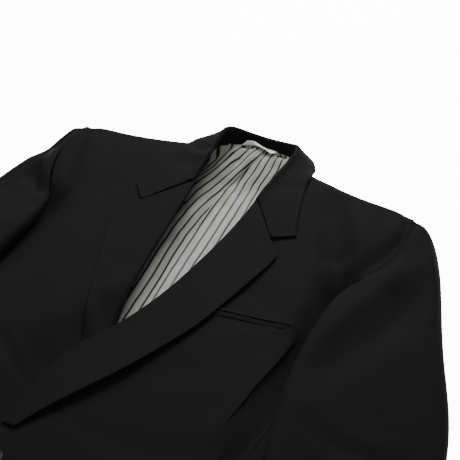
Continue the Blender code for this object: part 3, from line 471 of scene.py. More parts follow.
def cloth_from(node, levels, wall, rounded_form):
    """A finer copy of a CAD panel, with its cut edges kept."""
    cloth = bmesh.new()
    cloth.from_mesh(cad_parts[node].data)
    bmesh.ops.remove_doubles(cloth, verts=cloth.verts, dist=MERGE)
    mark_cut_edges(cloth, wall)
    bmesh.ops.join_triangles(
        cloth, faces=cloth.faces, cmp_seam=True, topology_influence=2.0,
        angle_face_threshold=math.pi, angle_shape_threshold=math.pi,
    )
    kept = cloth.edges.layers.float.new("crease_edge")
    for edge in cloth.edges:
        edge[kept] = 1.0 if edge.seam else 0.0
        edge.seam = False
    cage = new_object(node + "_cage", cloth)
    wanted = points_of(cage.data)
    subdivision = cage.modifiers.new("rounded", "SUBSURF")
    subdivision.levels = subdivision.render_levels = 1
    if rounded_form:
        for _ in range(FITTING_ROUNDS):
            reached = points_of(evaluated(cage))[:len(wanted)]
            set_points(cage.data, points_of(cage.data) + wanted - reached)
    else:
        subdivision.subdivision_type = "SIMPLE"
    subdivision.levels = subdivision.render_levels = levels
    mesh = evaluated(cage)
    bpy.data.objects.remove(cage)
    return mesh


print("CAD nodes in the frame:", len(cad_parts))

# %% [markdown]
# ## Creases
#
# Wool laid out by hand keeps a few soft troughs: where the sleeve head collapses, where the armhole
# pulls at the chest, and across the elbow. Each is a row in a table: a start, a middle and an end, how
# wide it is and how deep. A curve runs through the three points, and the cloth sinks by a bell-shaped
# amount next to it. Cloth that sinks also bulges a little on both sides, which catches the light.

# %% The crease helper
CREASE_STEPS = 24  # places along a crease
CREASE_REACH = 3.5  # in half widths, past which the cloth stays as it is
END_SHARE, RUN_SHARE, FADE_POWER = 0.06, 0.88, 0.6  # how a crease runs out at its ends
BULGE = 0.28  # the height of the bulge beside a crease, in depths
BULGE_OFF, BULGE_WIDTH = 1.9, 0.9  # its place and its width, in half widths


def crease_depth(x, y, creases):
    """How far the cloth sinks at each place, over all creases. A ridge has a negative depth."""
    total = np.zeros(len(x))
    for x0, y0, xm, ym, x1, y1, half, depth in creases:
        steps = np.linspace(0, 1, CREASE_STEPS + 1)[:, None]
        bend = np.array([2 * xm - (x0 + x1) / 2, 2 * ym - (y0 + y1) / 2])
        start, end = np.array([x0, y0]), np.array([x1, y1])
        line = start * (1 - steps) ** 2 + bend * 2 * steps * (1 - steps) + end * steps**2
        reach = CREASE_REACH * half
        near = (x > line[:, 0].min() - reach) & (x < line[:, 0].max() + reach)
        near &= (y > line[:, 1].min() - reach) & (y < line[:, 1].max() + reach)
        if not near.any():
            continue
        away = np.hypot(x[near, None] - line[None, :, 0], y[near, None] - line[None, :, 1])
        nearest = away.argmin(axis=1)
        gap = away.min(axis=1)
        fade = np.sin(np.pi * (END_SHARE + RUN_SHARE * nearest / CREASE_STEPS)) ** FADE_POWER
        bulge = np.exp(-(((gap - BULGE_OFF * half) / (BULGE_WIDTH * half)) ** 2))
        bell = np.exp(-((gap / half) ** 2)) - BULGE * bulge
        total[near] += depth * fade * bell
    return total


print("A crease reaches", CREASE_REACH, "half widths")

# %% The creases of the body
LEFT_BODY = (
    # x0, y0, xm, ym, x1, y1, half width, depth: wearer's left, shown on the right
    (0.130, -0.038, 0.163, -0.105, 0.192, -0.172, 0.014, 0.0036),
    (0.152, -0.030, 0.182, -0.075, 0.205, -0.125, 0.012, -0.0016),
    (0.223, -0.024, 0.232, -0.070, 0.214, -0.128, 0.006, 0.0022),
    (0.206, -0.030, 0.216, -0.065, 0.206, -0.105, 0.008, -0.0014),
    (0.080, -0.180, 0.110, -0.215, 0.150, -0.225, 0.016, 0.0010),
    (0.150, -0.290, 0.120, -0.330, 0.080, -0.360, 0.014, 0.0016),
    (0.190, -0.420, 0.130, -0.452, 0.060, -0.460, 0.016, 0.0022),
    (0.060, -0.560, 0.120, -0.585, 0.190, -0.575, 0.015, 0.0018),
    (0.020, -0.540, 0.060, -0.520, 0.120, -0.520, 0.009, 0.0014),
)
RIGHT_BODY = (
    # x0, y0, xm, ym, x1, y1, half width, depth, mirrored: wearer's right
    (0.192, -0.120, 0.184, -0.200, 0.174, -0.300, 0.016, 0.0052),
    (0.110, -0.386, 0.084, -0.407, 0.050, -0.425, 0.006, 0.0024),
    (0.223, -0.024, 0.216, -0.070, 0.200, -0.128, 0.008, 0.0030),
    (0.205, -0.024, 0.196, -0.060, 0.180, -0.110, 0.010, -0.0014),
    (0.120, -0.070, 0.140, -0.120, 0.150, -0.180, 0.020, 0.0016),
    (0.150, -0.225, 0.140, -0.280, 0.120, -0.340, 0.018, 0.0020),
    (0.190, -0.440, 0.130, -0.470, 0.070, -0.462, 0.015, 0.0022),
    (0.070, -0.600, 0.130, -0.590, 0.190, -0.610, 0.014, 0.0018),
)
LEFT_SLEEVE = (
    (0.232, -0.030, 0.238, -0.070, 0.226, -0.128, 0.006, 0.0020),
    (0.250, -0.113, 0.222, -0.190, 0.206, -0.275, 0.012, -0.0030),
    (0.276, -0.128, 0.262, -0.205, 0.226, -0.300, 0.018, 0.0052),
    (0.292, -0.090, 0.322, -0.160, 0.344, -0.225, 0.010, -0.0030),
    (0.350, -0.350, 0.300, -0.372, 0.240, -0.360, 0.010, 0.0026),
    (0.370, -0.430, 0.320, -0.428, 0.270, -0.450, 0.012, 0.0030),
    (0.390, -0.500, 0.340, -0.470, 0.300, -0.485, 0.009, 0.0018),
)
RIGHT_SLEEVE = (
    (0.232, -0.034, 0.222, -0.075, 0.212, -0.120, 0.007, 0.0030),
    (0.252, -0.122, 0.228, -0.148, 0.202, -0.164, 0.010, 0.0074),
    (0.240, -0.086, 0.224, -0.118, 0.206, -0.146, 0.008, -0.0050),
    (0.262, -0.070, 0.252, -0.110, 0.232, -0.140, 0.009, 0.0036),
    (0.300, -0.120, 0.280, -0.190, 0.250, -0.260, 0.016, 0.0030),
    (0.215, -0.250, 0.240, -0.300, 0.290, -0.330, 0.012, 0.0024),
    (0.350, -0.360, 0.300, -0.380, 0.235, -0.372, 0.011, 0.0028),
    (0.385, -0.450, 0.330, -0.440, 0.280, -0.460, 0.012, 0.0030),
)
BACK = (
    (0.030, -0.120, 0.090, -0.100, 0.160, -0.120, 0.014, -0.0012),
    (0.020, -0.380, 0.090, -0.400, 0.180, -0.370, 0.016, -0.0016),
    (0.040, -0.470, 0.110, -0.450, 0.190, -0.480, 0.014, -0.0014),
    (0.060, -0.640, 0.080, -0.690, 0.075, -0.750, 0.012, -0.0012),
)
COLLAR = (
    (-0.047, -0.004, -0.064, -0.010, -0.086, 0.000, 0.007, 0.0016),
    (-0.046, -0.018, -0.066, -0.024, -0.088, -0.022, 0.007, -0.0016),
    (-0.045, -0.036, -0.066, -0.046, -0.090, -0.052, 0.008, 0.0010),
    (0.048, -0.030, 0.066, -0.036, 0.090, -0.034, 0.009, 0.0010),
    (0.045, -0.052, 0.064, -0.072, 0.078, -0.088, 0.008, -0.0008),
)
print("Creases:", sum(map(len, (LEFT_BODY, RIGHT_BODY, LEFT_SLEEVE, RIGHT_SLEEVE, BACK, COLLAR))))

# %% [markdown]
# ## Small unevenness and the grain
#
# Even pressed cloth isn't a perfect surface: it undulates by a fraction of a millimetre. A low noise
# does that, the same for both faces of the wall so that its thickness stays. Each panel also gets a UV
# map in metres that runs along its own grain. Two more helpers find how high the CAD cloth lies at a
# place, for the pieces that rest on it.

# %% Helpers for unevenness, grain and measuring
UNEVEN, UNEVEN_SIZE = 0.0007, 0.045
RISE_IN_GRAIN = 0.7  # how much a steep place lengthens the cloth across


def uneven(x, y, seed):
    """Soft waves of the cloth, in metres, at each place."""
    wave = [noise.noise((a / UNEVEN_SIZE, b / UNEVEN_SIZE, seed)) for a, b in zip(x, y)]
    return UNEVEN * np.array(wave)


def lay_grain(mesh, turn):
    """A UV map in metres, turned so that its second axis runs along the cloth's warp."""
    points = points_of(mesh)
    around = points[:, 0] + RISE_IN_GRAIN * points[:, 2]
    u = around * math.cos(turn) + points[:, 1] * math.sin(turn)
    v = points[:, 1] * math.cos(turn) - around * math.sin(turn)
    corner = np.empty(len(mesh.loops), int)
    mesh.loops.foreach_get("vertex_index", corner)
    layer = mesh.uv_layers.get(CLOTH_UV) or mesh.uv_layers.new(name=CLOTH_UV)
    layer.data.foreach_set("uv", np.stack([u, v], axis=1)[corner].ravel())


def surface_of(mesh):
    """Area of all faces, in square metres."""
    return sum(face.area for face in mesh.polygons)


def tree_over(*nodes):
    """A search tree over CAD nodes, to find how high they are at a place."""
    vertices, faces = [], []
    for node in nodes:
        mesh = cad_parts[node].data
        start = len(vertices)
        vertices += [v.co.copy() for v in mesh.vertices]
        faces += [[start + k for k in face.vertices] for face in mesh.polygons]
    return BVHTree.FromPolygons(vertices, faces)


def top_of(tree, x, y, default):
    """The height of what lies topmost in the tree at a place."""
    hit = tree.ray_cast(Vector((x, y, 1)), Vector((0, 0, -1)))
    return hit[0].z if hit[0] is not None else default


print("Unevenness up to about", 1000 * UNEVEN, "mm")

# %% [markdown]
# ## Finishing each panel
#
# A dressed panel replaces its CAD node. It gets its creases, a little unevenness, the wool and a grain
# of its own, and it stays just above the table.

# %% The helper that finishes a panel
UNEVEN_SEED = 3.0
ABOVE_TABLE = 0.0002  # no cloth sinks into the table


def dress(node, levels, turn, creases=(), side=1, wall=0.002, rounded_form=True):
    mesh = cloth_from(node, levels, wall, rounded_form)
    mesh.name = node + "_cloth"
    points = points_of(mesh)
    x, y = points[:, 0] * side, points[:, 1] - neck_y
    down = crease_depth(x, y, creases)
    points[:, 2] -= down + uneven(points[:, 0], y, UNEVEN_SEED * side)
    points[:, 2] = np.maximum(points[:, 2], ABOVE_TABLE)
    set_points(mesh, points)
    piece = bpy.data.objects.new(node + "_cloth", mesh)
    bpy.context.scene.collection.objects.link(piece)
    mesh.materials.clear()
    mesh.materials.append(wool)
    mesh.shade_smooth()
    lay_grain(mesh, math.radians(turn) * side)
    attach(piece, "root")
    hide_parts(node)
    return piece


print("Cloth is kept", 1000 * ABOVE_TABLE, "mm above the table")

# %% [markdown]
# ## The body: fronts, sides and back
#
# The two fronts carry most of what shows. The side panels wrap round the side folds under the sleeves,
# and the back halves lie on the table. The CAD keeps 0.3 mm between all pieces, and in the centre seam
# that gap is closed here.

# %% Dress the body
SIDES = (("left", 1), ("right", -1))
SEAM_REACH, SEAM_HALF = 0.0004, 0.00002


def close_centre_seam(piece, side):
    """Moves the edge at the middle of the back close to the other half."""
    points = points_of(piece.data)
    points[np.abs(points[:, 0]) < SEAM_REACH, 0] = side * SEAM_HALF
    set_points(piece.data, points)


for side_name, side in SIDES:
    body_creases = LEFT_BODY if side > 0 else RIGHT_BODY
    back = dress(f"back_{side_name}", 3, 0, BACK, side,
                 rounded_form=False)
    close_centre_seam(back, side)
    dress(f"side_{side_name}", 2, 0, (), side)
    dress(f"front_{side_name}", 3, 2, body_creases, side)

# %% [markdown]
# ## The sleeves
#
# Each sleeve is two panels, the top sleeve that shows and the under sleeve on the table. Each is made
# from its own CAD panel, so the seams between the two stay closed. Their grain runs down the arm, about
# 25 degrees off the body's.

# %% Dress the sleeves
SLEEVE_TURN = 25
for side_name, side in SIDES:
    sleeve_creases = LEFT_SLEEVE if side > 0 else RIGHT_SLEEVE
    dress(f"under_sleeve_{side_name}", 2, SLEEVE_TURN, (), side)
    dress(f"top_sleeve_{side_name}", 3, SLEEVE_TURN,
          sleeve_creases, side)

# %% [markdown]
# ## Lapels and collar
#
# The lapels are one piece with the facing, folded over at the roll line, so their grain leans. The
# collar's leaf and stand are cut on the bias. On a real jacket the lapel's roll runs on under the
# collar, so here its top is moved a little way in, and no lining shows between the two.

# %% Dress the lapels and the collar
LAPEL_TURN, BIAS = 12, 45
COLLAR_WALL = 0.0022
ROLL_TOP = (0.0456, -0.0722, 0.0488)  # where a lapel's roll meets the collar
TUCK_REACH, TUCK_IN = 0.009, 0.0022
TUCK_ASIDE = 0.3  # the share of it that goes towards the middle


def tuck_under_collar(piece, side):
    """Moves the top of a lapel's roll up under the collar, so that nothing shows between the two."""
    points = points_of(piece.data)
    away = points - np.array((ROLL_TOP[0] * side, ROLL_TOP[1] + neck_y, ROLL_TOP[2]))
    near = np.clip(1 - np.linalg.norm(away, axis=1) / TUCK_REACH, 0, 1)
    points[:, 1] += TUCK_IN * near
    points[:, 0] -= side * TUCK_IN * TUCK_ASIDE * near
    set_points(piece.data, points)


for side_name, side in SIDES:
    lapel = dress(f"lapel_{side_name}", 3, LAPEL_TURN, (), side,
                  wall=0.0018)
    tuck_under_collar(lapel, side)
dress("collar_leaf", 2, BIAS, COLLAR, wall=COLLAR_WALL)
dress("collar_stand", 2, BIAS, wall=COLLAR_WALL)

# %% [markdown]
# ## The breast pocket
#
# Two narrow lips of folded wool lie along the slit. They are panels like the others, bent a little
# after dressing: the upper lip lifts at the slit, so that the slit is dark, and the lower lip gets
# thinner towards its sewn edge. A dark line in the material would look flat from the side.

# %% Dress the pocket's lips
LIP_WALL = 0.0012
LIP_LIFT = 0.0009  # how far the upper lip stands up at the slit
SLIT_OPEN = 0.0006
LIP_THINNING = 0.55  # the share of its height that the lower lip loses at its sewn edge
LIP_CURVE = 1.5
front_tree = tree_over("front_left")

lips = {}
for lip in ("pocket_upper_jet", "pocket_lower_jet"):
    lips[lip] = dress(lip, 2, 8, wall=LIP_WALL)
upper_middle, lower_middle = (points_of(piece.data).mean(axis=0) for piece in lips.values())
for lip, piece in lips.items():
    points = points_of(piece.data)
    away = points[:, :2] - points[:, :2].mean(axis=0)
    run = np.linalg.eigh(np.cov(away.T))[1][:, 1]
    across = np.array([-run[1], run[0]])
    across *= np.sign(across @ (upper_middle - lower_middle)[:2])
    along = away @ run
    bend = np.polyfit(along, away @ across, 2)
    off = away @ across - np.polyval(bend, along)
    upwards = (off - off.min()) / (off.max() - off.min())  # 0 at the lip's lower edge, 1 at its upper
    if lip == "pocket_upper_jet":
        points[:, 2] += LIP_LIFT * (1 - upwards) ** LIP_CURVE
    else:
        bed = np.array([top_of(front_tree, x, y, z) for x, y, z in points])
        kept_height = 1 - LIP_THINNING * (1 - upwards) ** LIP_CURVE
        points[:, 2] = bed + (points[:, 2] - bed) * kept_height
        points[:, :2] -= across * SLIT_OPEN * upwards[:, None] ** 2
    set_points(piece.data, points)
print("Slit opened by", 1000 * SLIT_OPEN, "mm")

# %% [markdown]
# ## The lining
#
# The back lining shows in the open neck. It is the part that the eye goes to: grey satin, with thin dark
# stripes about a centimetre apart. A tuck at the top gives the wearer room to move. It takes up over
# three centimetres of cloth at the neck and opens out to nothing lower down, so the stripes on its two
# sides run at different slants. A flat sheet with painted lines can't show that. So the lining is
# made from a bmesh grid that counts in stripes: each column of points is a place on the cloth, and a
# short table says where that place lies at each level.

# %% Where the stripes lie
LINING_ROWS = (
    # y, edge of the tuck, a stripe left of it, pitch there, a stripe right of it, pitch there
    (0.048, -0.0005, -0.0030, 0.0092, 0.0025, 0.0088),
    (0.040, -0.0035, -0.0060, 0.0092, 0.0005, 0.0090),
    (0.020, -0.0115, -0.0140, 0.0088, -0.0018, 0.0099),
    (0.000, -0.0185, -0.0220, 0.0084, -0.0052, 0.0098),
    (-0.020, -0.0240, -0.0290, 0.0103, -0.0045, 0.0098),
    (-0.040, -0.0272, -0.0342, 0.0115, -0.0035, 0.0102),
    (-0.060, -0.0265, -0.0380, 0.0108, -0.0022, 0.0106),
    (-0.080, -0.0255, -0.0395, 0.0109, -0.0005, 0.0107),
    (-0.120, -0.0230, -0.0385, 0.0107, 0.0035, 0.0109),
    (-0.160, -0.0195, -0.0342, 0.0107, 0.0070, 0.0107),
    (-0.200, -0.0140, -0.0280, 0.0108, 0.0112, 0.0107),
    (-0.240, -0.0080, -0.0235, 0.0109, 0.0165, 0.0107),
    (-0.280, -0.0020, -0.0190, 0.0109, 0.0220, 0.0107),
    (-0.345, 0.0070, -0.0110, 0.0109, 0.0310, 0.0107),
)
LEFT_STRIPE = -4.0  # the stripe left of the tuck is the fourth from the one right of it
FIRST_STRIPE, LAST_STRIPE = -11.0, 7.5
STRIPE_PITCH = 0.0107
PLEAT_RISE = 0.0034  # how far the tuck's upper layer stands above the lower one
TUCK_OPEN, TUCK_FADE = -0.004, 0.018  # the level where the tuck stands open, and how far around it
PRESSED = 0.2  # the share of its rise that the tuck keeps at other levels
FULL_TUCK = 2.0  # from so many hidden stripes on, the tuck has its full rise
LEAST_HIDDEN = 1e-4  # keeps the share below finite where nothing is hidden
TUCK_SPREAD = 0.42  # how far the hidden cloth reaches sideways, as a share of its width


def lining_table(y):
    """The row of the table at each level."""
    rows = np.array(LINING_ROWS)[::-1]
    return [np.interp(y, rows[:, 0], rows[:, k]) for k in range(1, 6)]


def lining_place(stripe, y):
    """Where a place on the cloth lies across the body, and how high it stands in the tuck."""
    edge, left_x, left_pitch, right_x, right_pitch = lining_table(y)
    left_end = LEFT_STRIPE + (edge - left_x) / left_pitch
    right_start = (edge - right_x) / right_pitch
    hidden = np.maximum(right_start - left_end, LEAST_HIDDEN)
    inside = np.clip((stripe - left_end) / hidden, 0, 1)
    tucked = TUCK_SPREAD * hidden * STRIPE_PITCH * np.sin(np.pi * inside)
    left_of_tuck = left_x + (stripe - LEFT_STRIPE) * left_pitch
    right_of_tuck = right_x + stripe * right_pitch
    x = np.where(stripe < left_end, left_of_tuck, right_of_tuck)
    x = np.where((stripe >= left_end) & (stripe <= right_start), edge - tucked, x)
    pressed = PRESSED + (1 - PRESSED) * np.exp(-(((y - TUCK_OPEN) / TUCK_FADE) ** 2))
    height = PLEAT_RISE * pressed * np.minimum(hidden / FULL_TUCK, 1.0) * (1 - inside)
    return x, height


print("Near the neck, the stripes -3 and 0 lie at x =",
      [round(float(v), 1) for v in lining_place(np.array([-3.0, 0.0]), 0.04)[0] * 1000], "mm")

# %% [markdown]
# The lining also has soft waves of its own: it is gathered under the tuck and puffs up along the neck
# seam. These are creases as before, with ridges as negative depths.

# %% The lining's own creases
LINING_FOLDS = (
    # x0, y0, xm, ym, x1, y1, half width, depth
    (-0.018, 0.000, -0.027, -0.030, -0.036, -0.060, 0.0035, 0.0018),
    (-0.040, 0.034, -0.036, 0.018, -0.042, 0.000, 0.0060, -0.0030),
    (-0.026, 0.040, -0.026, 0.022, -0.030, 0.004, 0.0045, 0.0016),
    (-0.016, 0.034, -0.022, 0.014, -0.030, -0.008, 0.0045, -0.0016),
    (-0.006, 0.030, -0.010, 0.006, -0.016, -0.016, 0.0045, 0.0020),
    (0.004, 0.036, 0.000, 0.008, -0.006, -0.020, 0.0050, -0.0016),
    (0.018, 0.034, 0.014, 0.006, 0.010, -0.030, 0.0060, 0.0010),
    (-0.010, -0.020, -0.018, -0.060, -0.020, -0.110, 0.0060, -0.0014),
    (-0.046, -0.030, -0.052, -0.070, -0.054, -0.120, 0.0080, -0.0020),
    (0.004, -0.050, 0.002, -0.100, 0.006, -0.150, 0.0080, 0.0010),
    (-0.034, -0.140, -0.030, -0.180, -0.022, -0.240, 0.0070, 0.0012),
    (-0.044, -0.150, -0.040, -0.190, -0.034, -0.230, 0.0070, -0.0014),
)
RUMPLE, RUMPLE_SIZE, RUMPLE_SEED = 0.0012, 0.010, 9.0
RUMPLE_LEVELS, RUMPLE_SHARES = (-0.20, 0.0, 0.03), (0.5, 1.0, 1.3)  # stronger towards the neck
print("Creases of the lining:", len(LINING_FOLDS))

# %% [markdown]
# At the top the lining is sewn to the foot of the collar's stand. That seam runs round the neck and
# climbs at both sides, so a table says where it is. The lining stops just in front of the stand and
# its edge turns up, as satin does where a seam pulls it. A flat edge would leave a gap there, and the
# white table would show through it.

# %% The neck seam
NECK_SEAM = (
    # distance from the middle, y of the stand's inside, height of the stand's foot
    (0.000, 0.0542, 0.0283),
    (0.020, 0.0528, 0.0300),
    (0.030, 0.0500, 0.0312),
    (0.040, 0.0422, 0.0322),
    (0.045, 0.0377, 0.0348),
    (0.050, 0.0304, 0.0380),
    (0.054, 0.0266, 0.0395),
    (0.058, 0.0215, 0.0413),
    (0.066, 0.0150, 0.0437),
)
SEAM_CLEAR = 0.0009  # the lining stays this far in front of the stand
SEAM_SLANT = 0.8  # how fast the seam runs down beyond the table
TURN_UP = 0.0024  # how far the lining's edge stands above the stand's foot
TURN_FROM = 0.93  # the share of the levels where it begins to rise
BEND_ROOM = 0.0040  # how far the turned edge reaches towards the stand

seam_x, seam_y, seam_z = np.array(NECK_SEAM).T
print(f"The neck seam climbs by {1000 * (seam_z[-1] - seam_z[0]):.0f} mm")

# %% Spread the lining out
LINING_COLUMNS, LINING_LEVELS = 240, 150
LEVEL_POWER = 0.85  # levels lie closer together towards the neck
SEAM_ROUNDS = 3

lining_low, lining_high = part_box("back_lining")
lining = bmesh.new()
bmesh.ops.create_grid(lining, x_segments=LINING_COLUMNS, y_segments=LINING_LEVELS, size=0.5)
share = np.array([v.co for v in lining.verts])[:, :2] + 0.5
stripe = FIRST_STRIPE + (LAST_STRIPE - FIRST_STRIPE) * share[:, 0]
bottom_y = lining_low[1] - neck_y
level_share = np.minimum(share[:, 1] / TURN_FROM, 1) ** LEVEL_POWER
top_y = np.full(len(share), seam_y[0])
for _ in range(SEAM_ROUNDS):
    y = bottom_y + (top_y - BEND_ROOM - bottom_y) * level_share
    x, height = lining_place(stripe, y)
    top_y = np.interp(np.abs(x), seam_x, seam_y) - SEAM_CLEAR
    top_y -= SEAM_SLANT * np.maximum(np.abs(x) - seam_x[-1], 0)
height = height - crease_depth(x, y, LINING_FOLDS)
rumple = [noise.noise((a / RUMPLE_SIZE, b / (2 * RUMPLE_SIZE), RUMPLE_SEED)) for a, b in zip(x, y)]
height += RUMPLE * np.array(rumple) * np.interp(y, RUMPLE_LEVELS, RUMPLE_SHARES)
print(f"Lining spread from y {y.min():.3f} to {y.max():.3f} m, {len(lining.verts)} points")

# %% [markdown]
# The lining lies on the CAD lining's own surface. That surface has facets, and satin would show each of
# them as a bright or a dark patch. So the heights found on it are evened out along the body first.

# %% Find what the lining lies on
BARE_TABLE = 0.002  # the height taken where there is no back
LINING_OVER_BACK = 0.0015  # the same where there is no CAD lining
BED_ROUNDS = 60
BED_LIFT = 0.0006
OVER_BACK = 0.0008  # the least height above the back

lining_tree = tree_over("back_lining")
back_tree = tree_over("back_left", "back_right")
on_back = np.array([top_of(back_tree, a, b + neck_y, BARE_TABLE) for a, b in zip(x, y)])
bed = np.array([
    top_of(lining_tree, a, b + neck_y, c + LINING_OVER_BACK) for a, b, c in zip(x, y, on_back)
])
row = np.rint(share[:, 1] * LINING_LEVELS).astype(int)
column = np.rint(share[:, 0] * LINING_COLUMNS).astype(int)
spread = np.zeros((LINING_LEVELS + 1, LINING_COLUMNS + 1))
spread[row, column] = bed
for _ in range(BED_ROUNDS):
    spread[1:-1] = (spread[:-2] + 2 * spread[1:-1] + spread[2:]) / 4
bed = np.maximum(spread[row, column] + BED_LIFT, on_back + OVER_BACK)
print(f"The lining's bed rises from {1000 * bed.min():.1f} to {1000 * bed.max():.1f} mm")

# %% Make the lining
LINING_THICK = 0.0004
DEEPEST = -0.0008  # no crease sinks further into the bed

rise = np.clip((share[:, 1] - TURN_FROM) / (1 - TURN_FROM), 0, 1)
edge_z = np.interp(np.abs(x), seam_x, seam_z) + TURN_UP
on_seam = np.abs(x) < seam_x[-1]
stripes = lining.loops.layers.uv.new("stripes")
grain_layer = lining.loops.layers.uv.new(CLOTH_UV)
stripe_at = {}
for k, vertex in enumerate(lining.verts):
    z = bed[k] + max(height[k], DEEPEST)
    turned = math.sin(rise[k] * math.pi / 2)
    place_y = y[k] + BEND_ROOM * turned
    if on_seam[k]:
        z += (edge_z[k] - z) * (1 - math.cos(rise[k] * math.pi / 2))
    vertex.co = (x[k], place_y + neck_y, z)
    stripe_at[vertex] = stripe[k]
for face in lining.faces:
    for loop in face.loops:
        loop[stripes].uv = (stripe_at[loop.vert], loop.vert.co.y)
        loop[grain_layer].uv = (stripe_at[loop.vert] * STRIPE_PITCH, loop.vert.co.y)
bmesh.ops.smooth_vert(lining, verts=lining.verts, factor=0.5, use_axis_z=True)
bmesh.ops.recalc_face_normals(lining, faces=lining.faces)
lining = new_object("back_lining_satin", lining, satin)
solid = lining.modifiers.new("thickness", "SOLIDIFY")
solid.thickness = LINING_THICK
solid.offset = -1
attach(lining, "root")
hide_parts("back_lining")

# %% [markdown]
# ## The blank label
#
# A white tape is caught into the neck seam at its left end. It leans on the stand and hangs over the
# seam onto the lining, and half way along it is pinched, so that it looks like a narrow bow tie. A
# plain strip laid on the seam would miss that twist, so a table gives its upper and its lower edge. A
# bmesh grid is stretched between the two, and its middle bulges up a little.

# %% Make the label
LABEL_EDGES = (
    # upper edge x, y, z, then lower edge x, y, z, in millimetres from the neck points
    (-33.8, 46.6, 34.6, -32.9, 45.2, 34.4),
    (-31.2, 49.2, 37.2, -30.2, 46.6, 34.2),
    (-28.7, 50.9, 39.9, -27.3, 48.4, 34.0),
    (-23.4, 52.6, 39.8, -21.0, 49.4, 34.4),
    (-18.0, 53.6, 39.0, -13.6, 47.4, 37.6),
    (-13.4, 53.8, 36.6, -10.2, 47.4, 37.2),
    (-8.8, 53.7, 34.6, -6.4, 48.2, 36.0),
    (-3.0, 53.6, 33.0, -0.6, 47.4, 35.0),
    (2.7, 53.3, 32.8, 4.4, 45.2, 35.0),
    (8.4, 52.8, 33.0, 9.3, 42.6, 34.8),
    (12.8, 52.2, 33.0, 13.4, 44.6, 35.4),
    (14.6, 51.2, 33.4, 15.0, 49.8, 34.4),
)
LABEL_COLUMNS, LABEL_LEVELS = 66, 8
LABEL_BULGE, LABEL_THICK = 0.0007, 0.0003
LABEL_CUT = (0.052, 0.010)

label = bmesh.new()
bmesh.ops.create_grid(label, x_segments=LABEL_COLUMNS, y_segments=LABEL_LEVELS, size=0.5)
label_share = np.array([v.co for v in label.verts])[:, :2] + 0.5
edge_rows = np.array(LABEL_EDGES) / 1000
places = label_share[:, 0] * (len(edge_rows) - 1)
along = np.array([np.interp(places, np.arange(len(edge_rows)), axis) for axis in edge_rows.T]).T
upper, lower = along[:, :3], along[:, 3:]
shape = lower + (upper - lower) * label_share[:, 1:]
shape[:, 2] += LABEL_BULGE * (1 - (2 * label_share[:, 1] - 1) ** 2)
shape[:, 1] += neck_y
for vertex, place in zip(label.verts, shape):
    vertex.co = place
label_uv = label.loops.layers.uv.new(CLOTH_UV)
for face in label.faces:
    for loop in face.loops:
        loop[label_uv].uv = (loop.vert.co.x, loop.vert.co.y + loop.vert.co.z)
bmesh.ops.recalc_face_normals(label, faces=label.faces)
label = new_object("neck_label_tape", label, tape)
label_area = surface_of(label.data)
solid = label.modifiers.new("thickness", "SOLIDIFY")
solid.thickness = LABEL_THICK
solid.offset = 0
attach(label, "root")
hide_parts("neck_label")
label_area = min(label_area, LABEL_CUT[0] * LABEL_CUT[1])
print(f"Label of {len(label.data.polygons)} faces, {1e6 * label_area:.0f} mm2")

# %% [markdown]
# ## The buttons
#
# Each button is a turned disc with a raised rim, a shallow dish and four holes, sewn on with thread in
# a cross. Turning is what a spin does, so its profile is spun round. A Boolean cuts the holes out of
# the dish, because that leaves their edges clean. The threads are balls drawn out to short strands,
# three beside each other in both directions.

# %% Make the buttons
BUTTON_PROFILE = (
    # share of the radius, share of the height
    (0.0, 0.0), (0.86, 0.0), (0.97, 0.10), (1.0, 0.35), (1.0, 0.62), (0.96, 0.86), (0.88, 1.0),
    (0.78, 0.96), (0.70, 0.80), (0.60, 0.70), (0.0, 0.66),
)
TURN_STEPS, HOLE_SIDES = 64, 20
HOLE_RADIUS, HOLE_OFF = 0.0010, 0.0021
SHARP_FROM = math.radians(35)


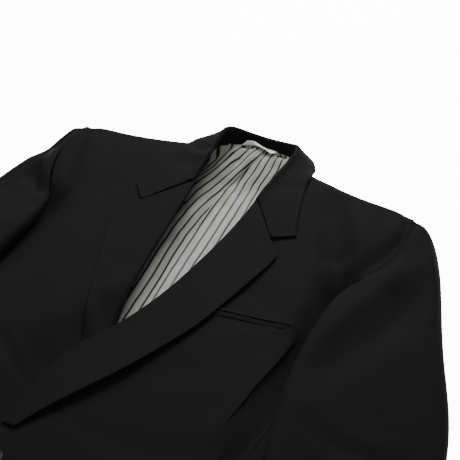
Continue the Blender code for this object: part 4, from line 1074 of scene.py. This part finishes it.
def make_button(node):
    """A button in its CAD node's place. Returns it with its middle, lowest corner and height."""
    low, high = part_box(node)
    middle = (low + high) / 2
    radius, height = (high[0] - low[0]) / 2, high[2] - low[2]
    disc = bmesh.new()
    ring = [disc.verts.new((radius * r, 0, height * z)) for r, z in BUTTON_PROFILE]
    edges = [disc.edges.new(pair) for pair in zip(ring, ring[1:])]
    bmesh.ops.spin(disc, geom=ring + edges, axis=(0, 0, 1), cent=(0, 0, 0), steps=TURN_STEPS,
                   angle=2 * math.pi, use_merge=True)
    bmesh.ops.remove_doubles(disc, verts=disc.verts, dist=1e-5)
    bmesh.ops.recalc_face_normals(disc, faces=disc.faces)
    bmesh.ops.translate(disc, verts=disc.verts, vec=(middle[0], middle[1], low[2]))
    button = new_object(node + "_horn", disc, horn)
    drill = bmesh.new()
    for quarter in range(4):
        angle = math.pi / 4 + quarter * math.pi / 2
        hole_x = middle[0] + HOLE_OFF * math.cos(angle)
        hole_y = middle[1] + HOLE_OFF * math.sin(angle)
        shift = (hole_x, hole_y, middle[2])
        made = bmesh.ops.create_cone(drill, cap_ends=True, segments=HOLE_SIDES, radius1=HOLE_RADIUS,
                                     radius2=HOLE_RADIUS, depth=4 * height)
        bmesh.ops.translate(drill, verts=made["verts"], vec=shift)
    drill = new_object("drill", drill)
    cut = button.modifiers.new("holes", "BOOLEAN")
    cut.object = drill
    cut.solver = "EXACT"
    drilled = evaluated(button)
    button.modifiers.clear()
    button.data = drilled
    bpy.data.objects.remove(drill)
    drilled.set_sharp_from_angle(angle=SHARP_FROM)
    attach(button, "root")
    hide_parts(node)
    return button, middle, low, height


THREAD_RADIUS = 0.0003
STRAND_STEP = 1.5  # from one strand to the next, in thread radii
STRAND_REACH = 1.15  # half a strand's length, in distances of the holes
STRAND_LIFT, CROSSED_LIFT = 0.70, 0.0002

for node in ("button_upper", "button_lower"):
    button, middle, low, height = make_button(node)
    threads = bmesh.new()
    for slant in (math.pi / 4, 3 * math.pi / 4):
        for strand in (-1, 0, 1):
            made = bmesh.ops.create_uvsphere(threads, u_segments=8, v_segments=12,
                                             radius=THREAD_RADIUS)
            new = made["verts"]
            bmesh.ops.rotate(threads, verts=new, matrix=Matrix.Rotation(math.pi / 2, 3, "Y"))
            bmesh.ops.scale(threads, verts=new, vec=(STRAND_REACH * HOLE_OFF / THREAD_RADIUS, 1, 1))
            aside = strand * THREAD_RADIUS * STRAND_STEP
            bmesh.ops.translate(threads, verts=new, vec=(0, aside, 0))
            bmesh.ops.rotate(threads, verts=new, matrix=Matrix.Rotation(slant, 3, "Z"))
            lift = height * STRAND_LIFT + (CROSSED_LIFT if slant > math.pi / 2 else 0)
            bmesh.ops.translate(threads, verts=new, vec=(middle[0], middle[1], low[2] + lift))
    threads = new_object(node + "_thread", threads, thread)
    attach(threads, "root")
    print(node, "with", len(button.data.polygons), "faces")
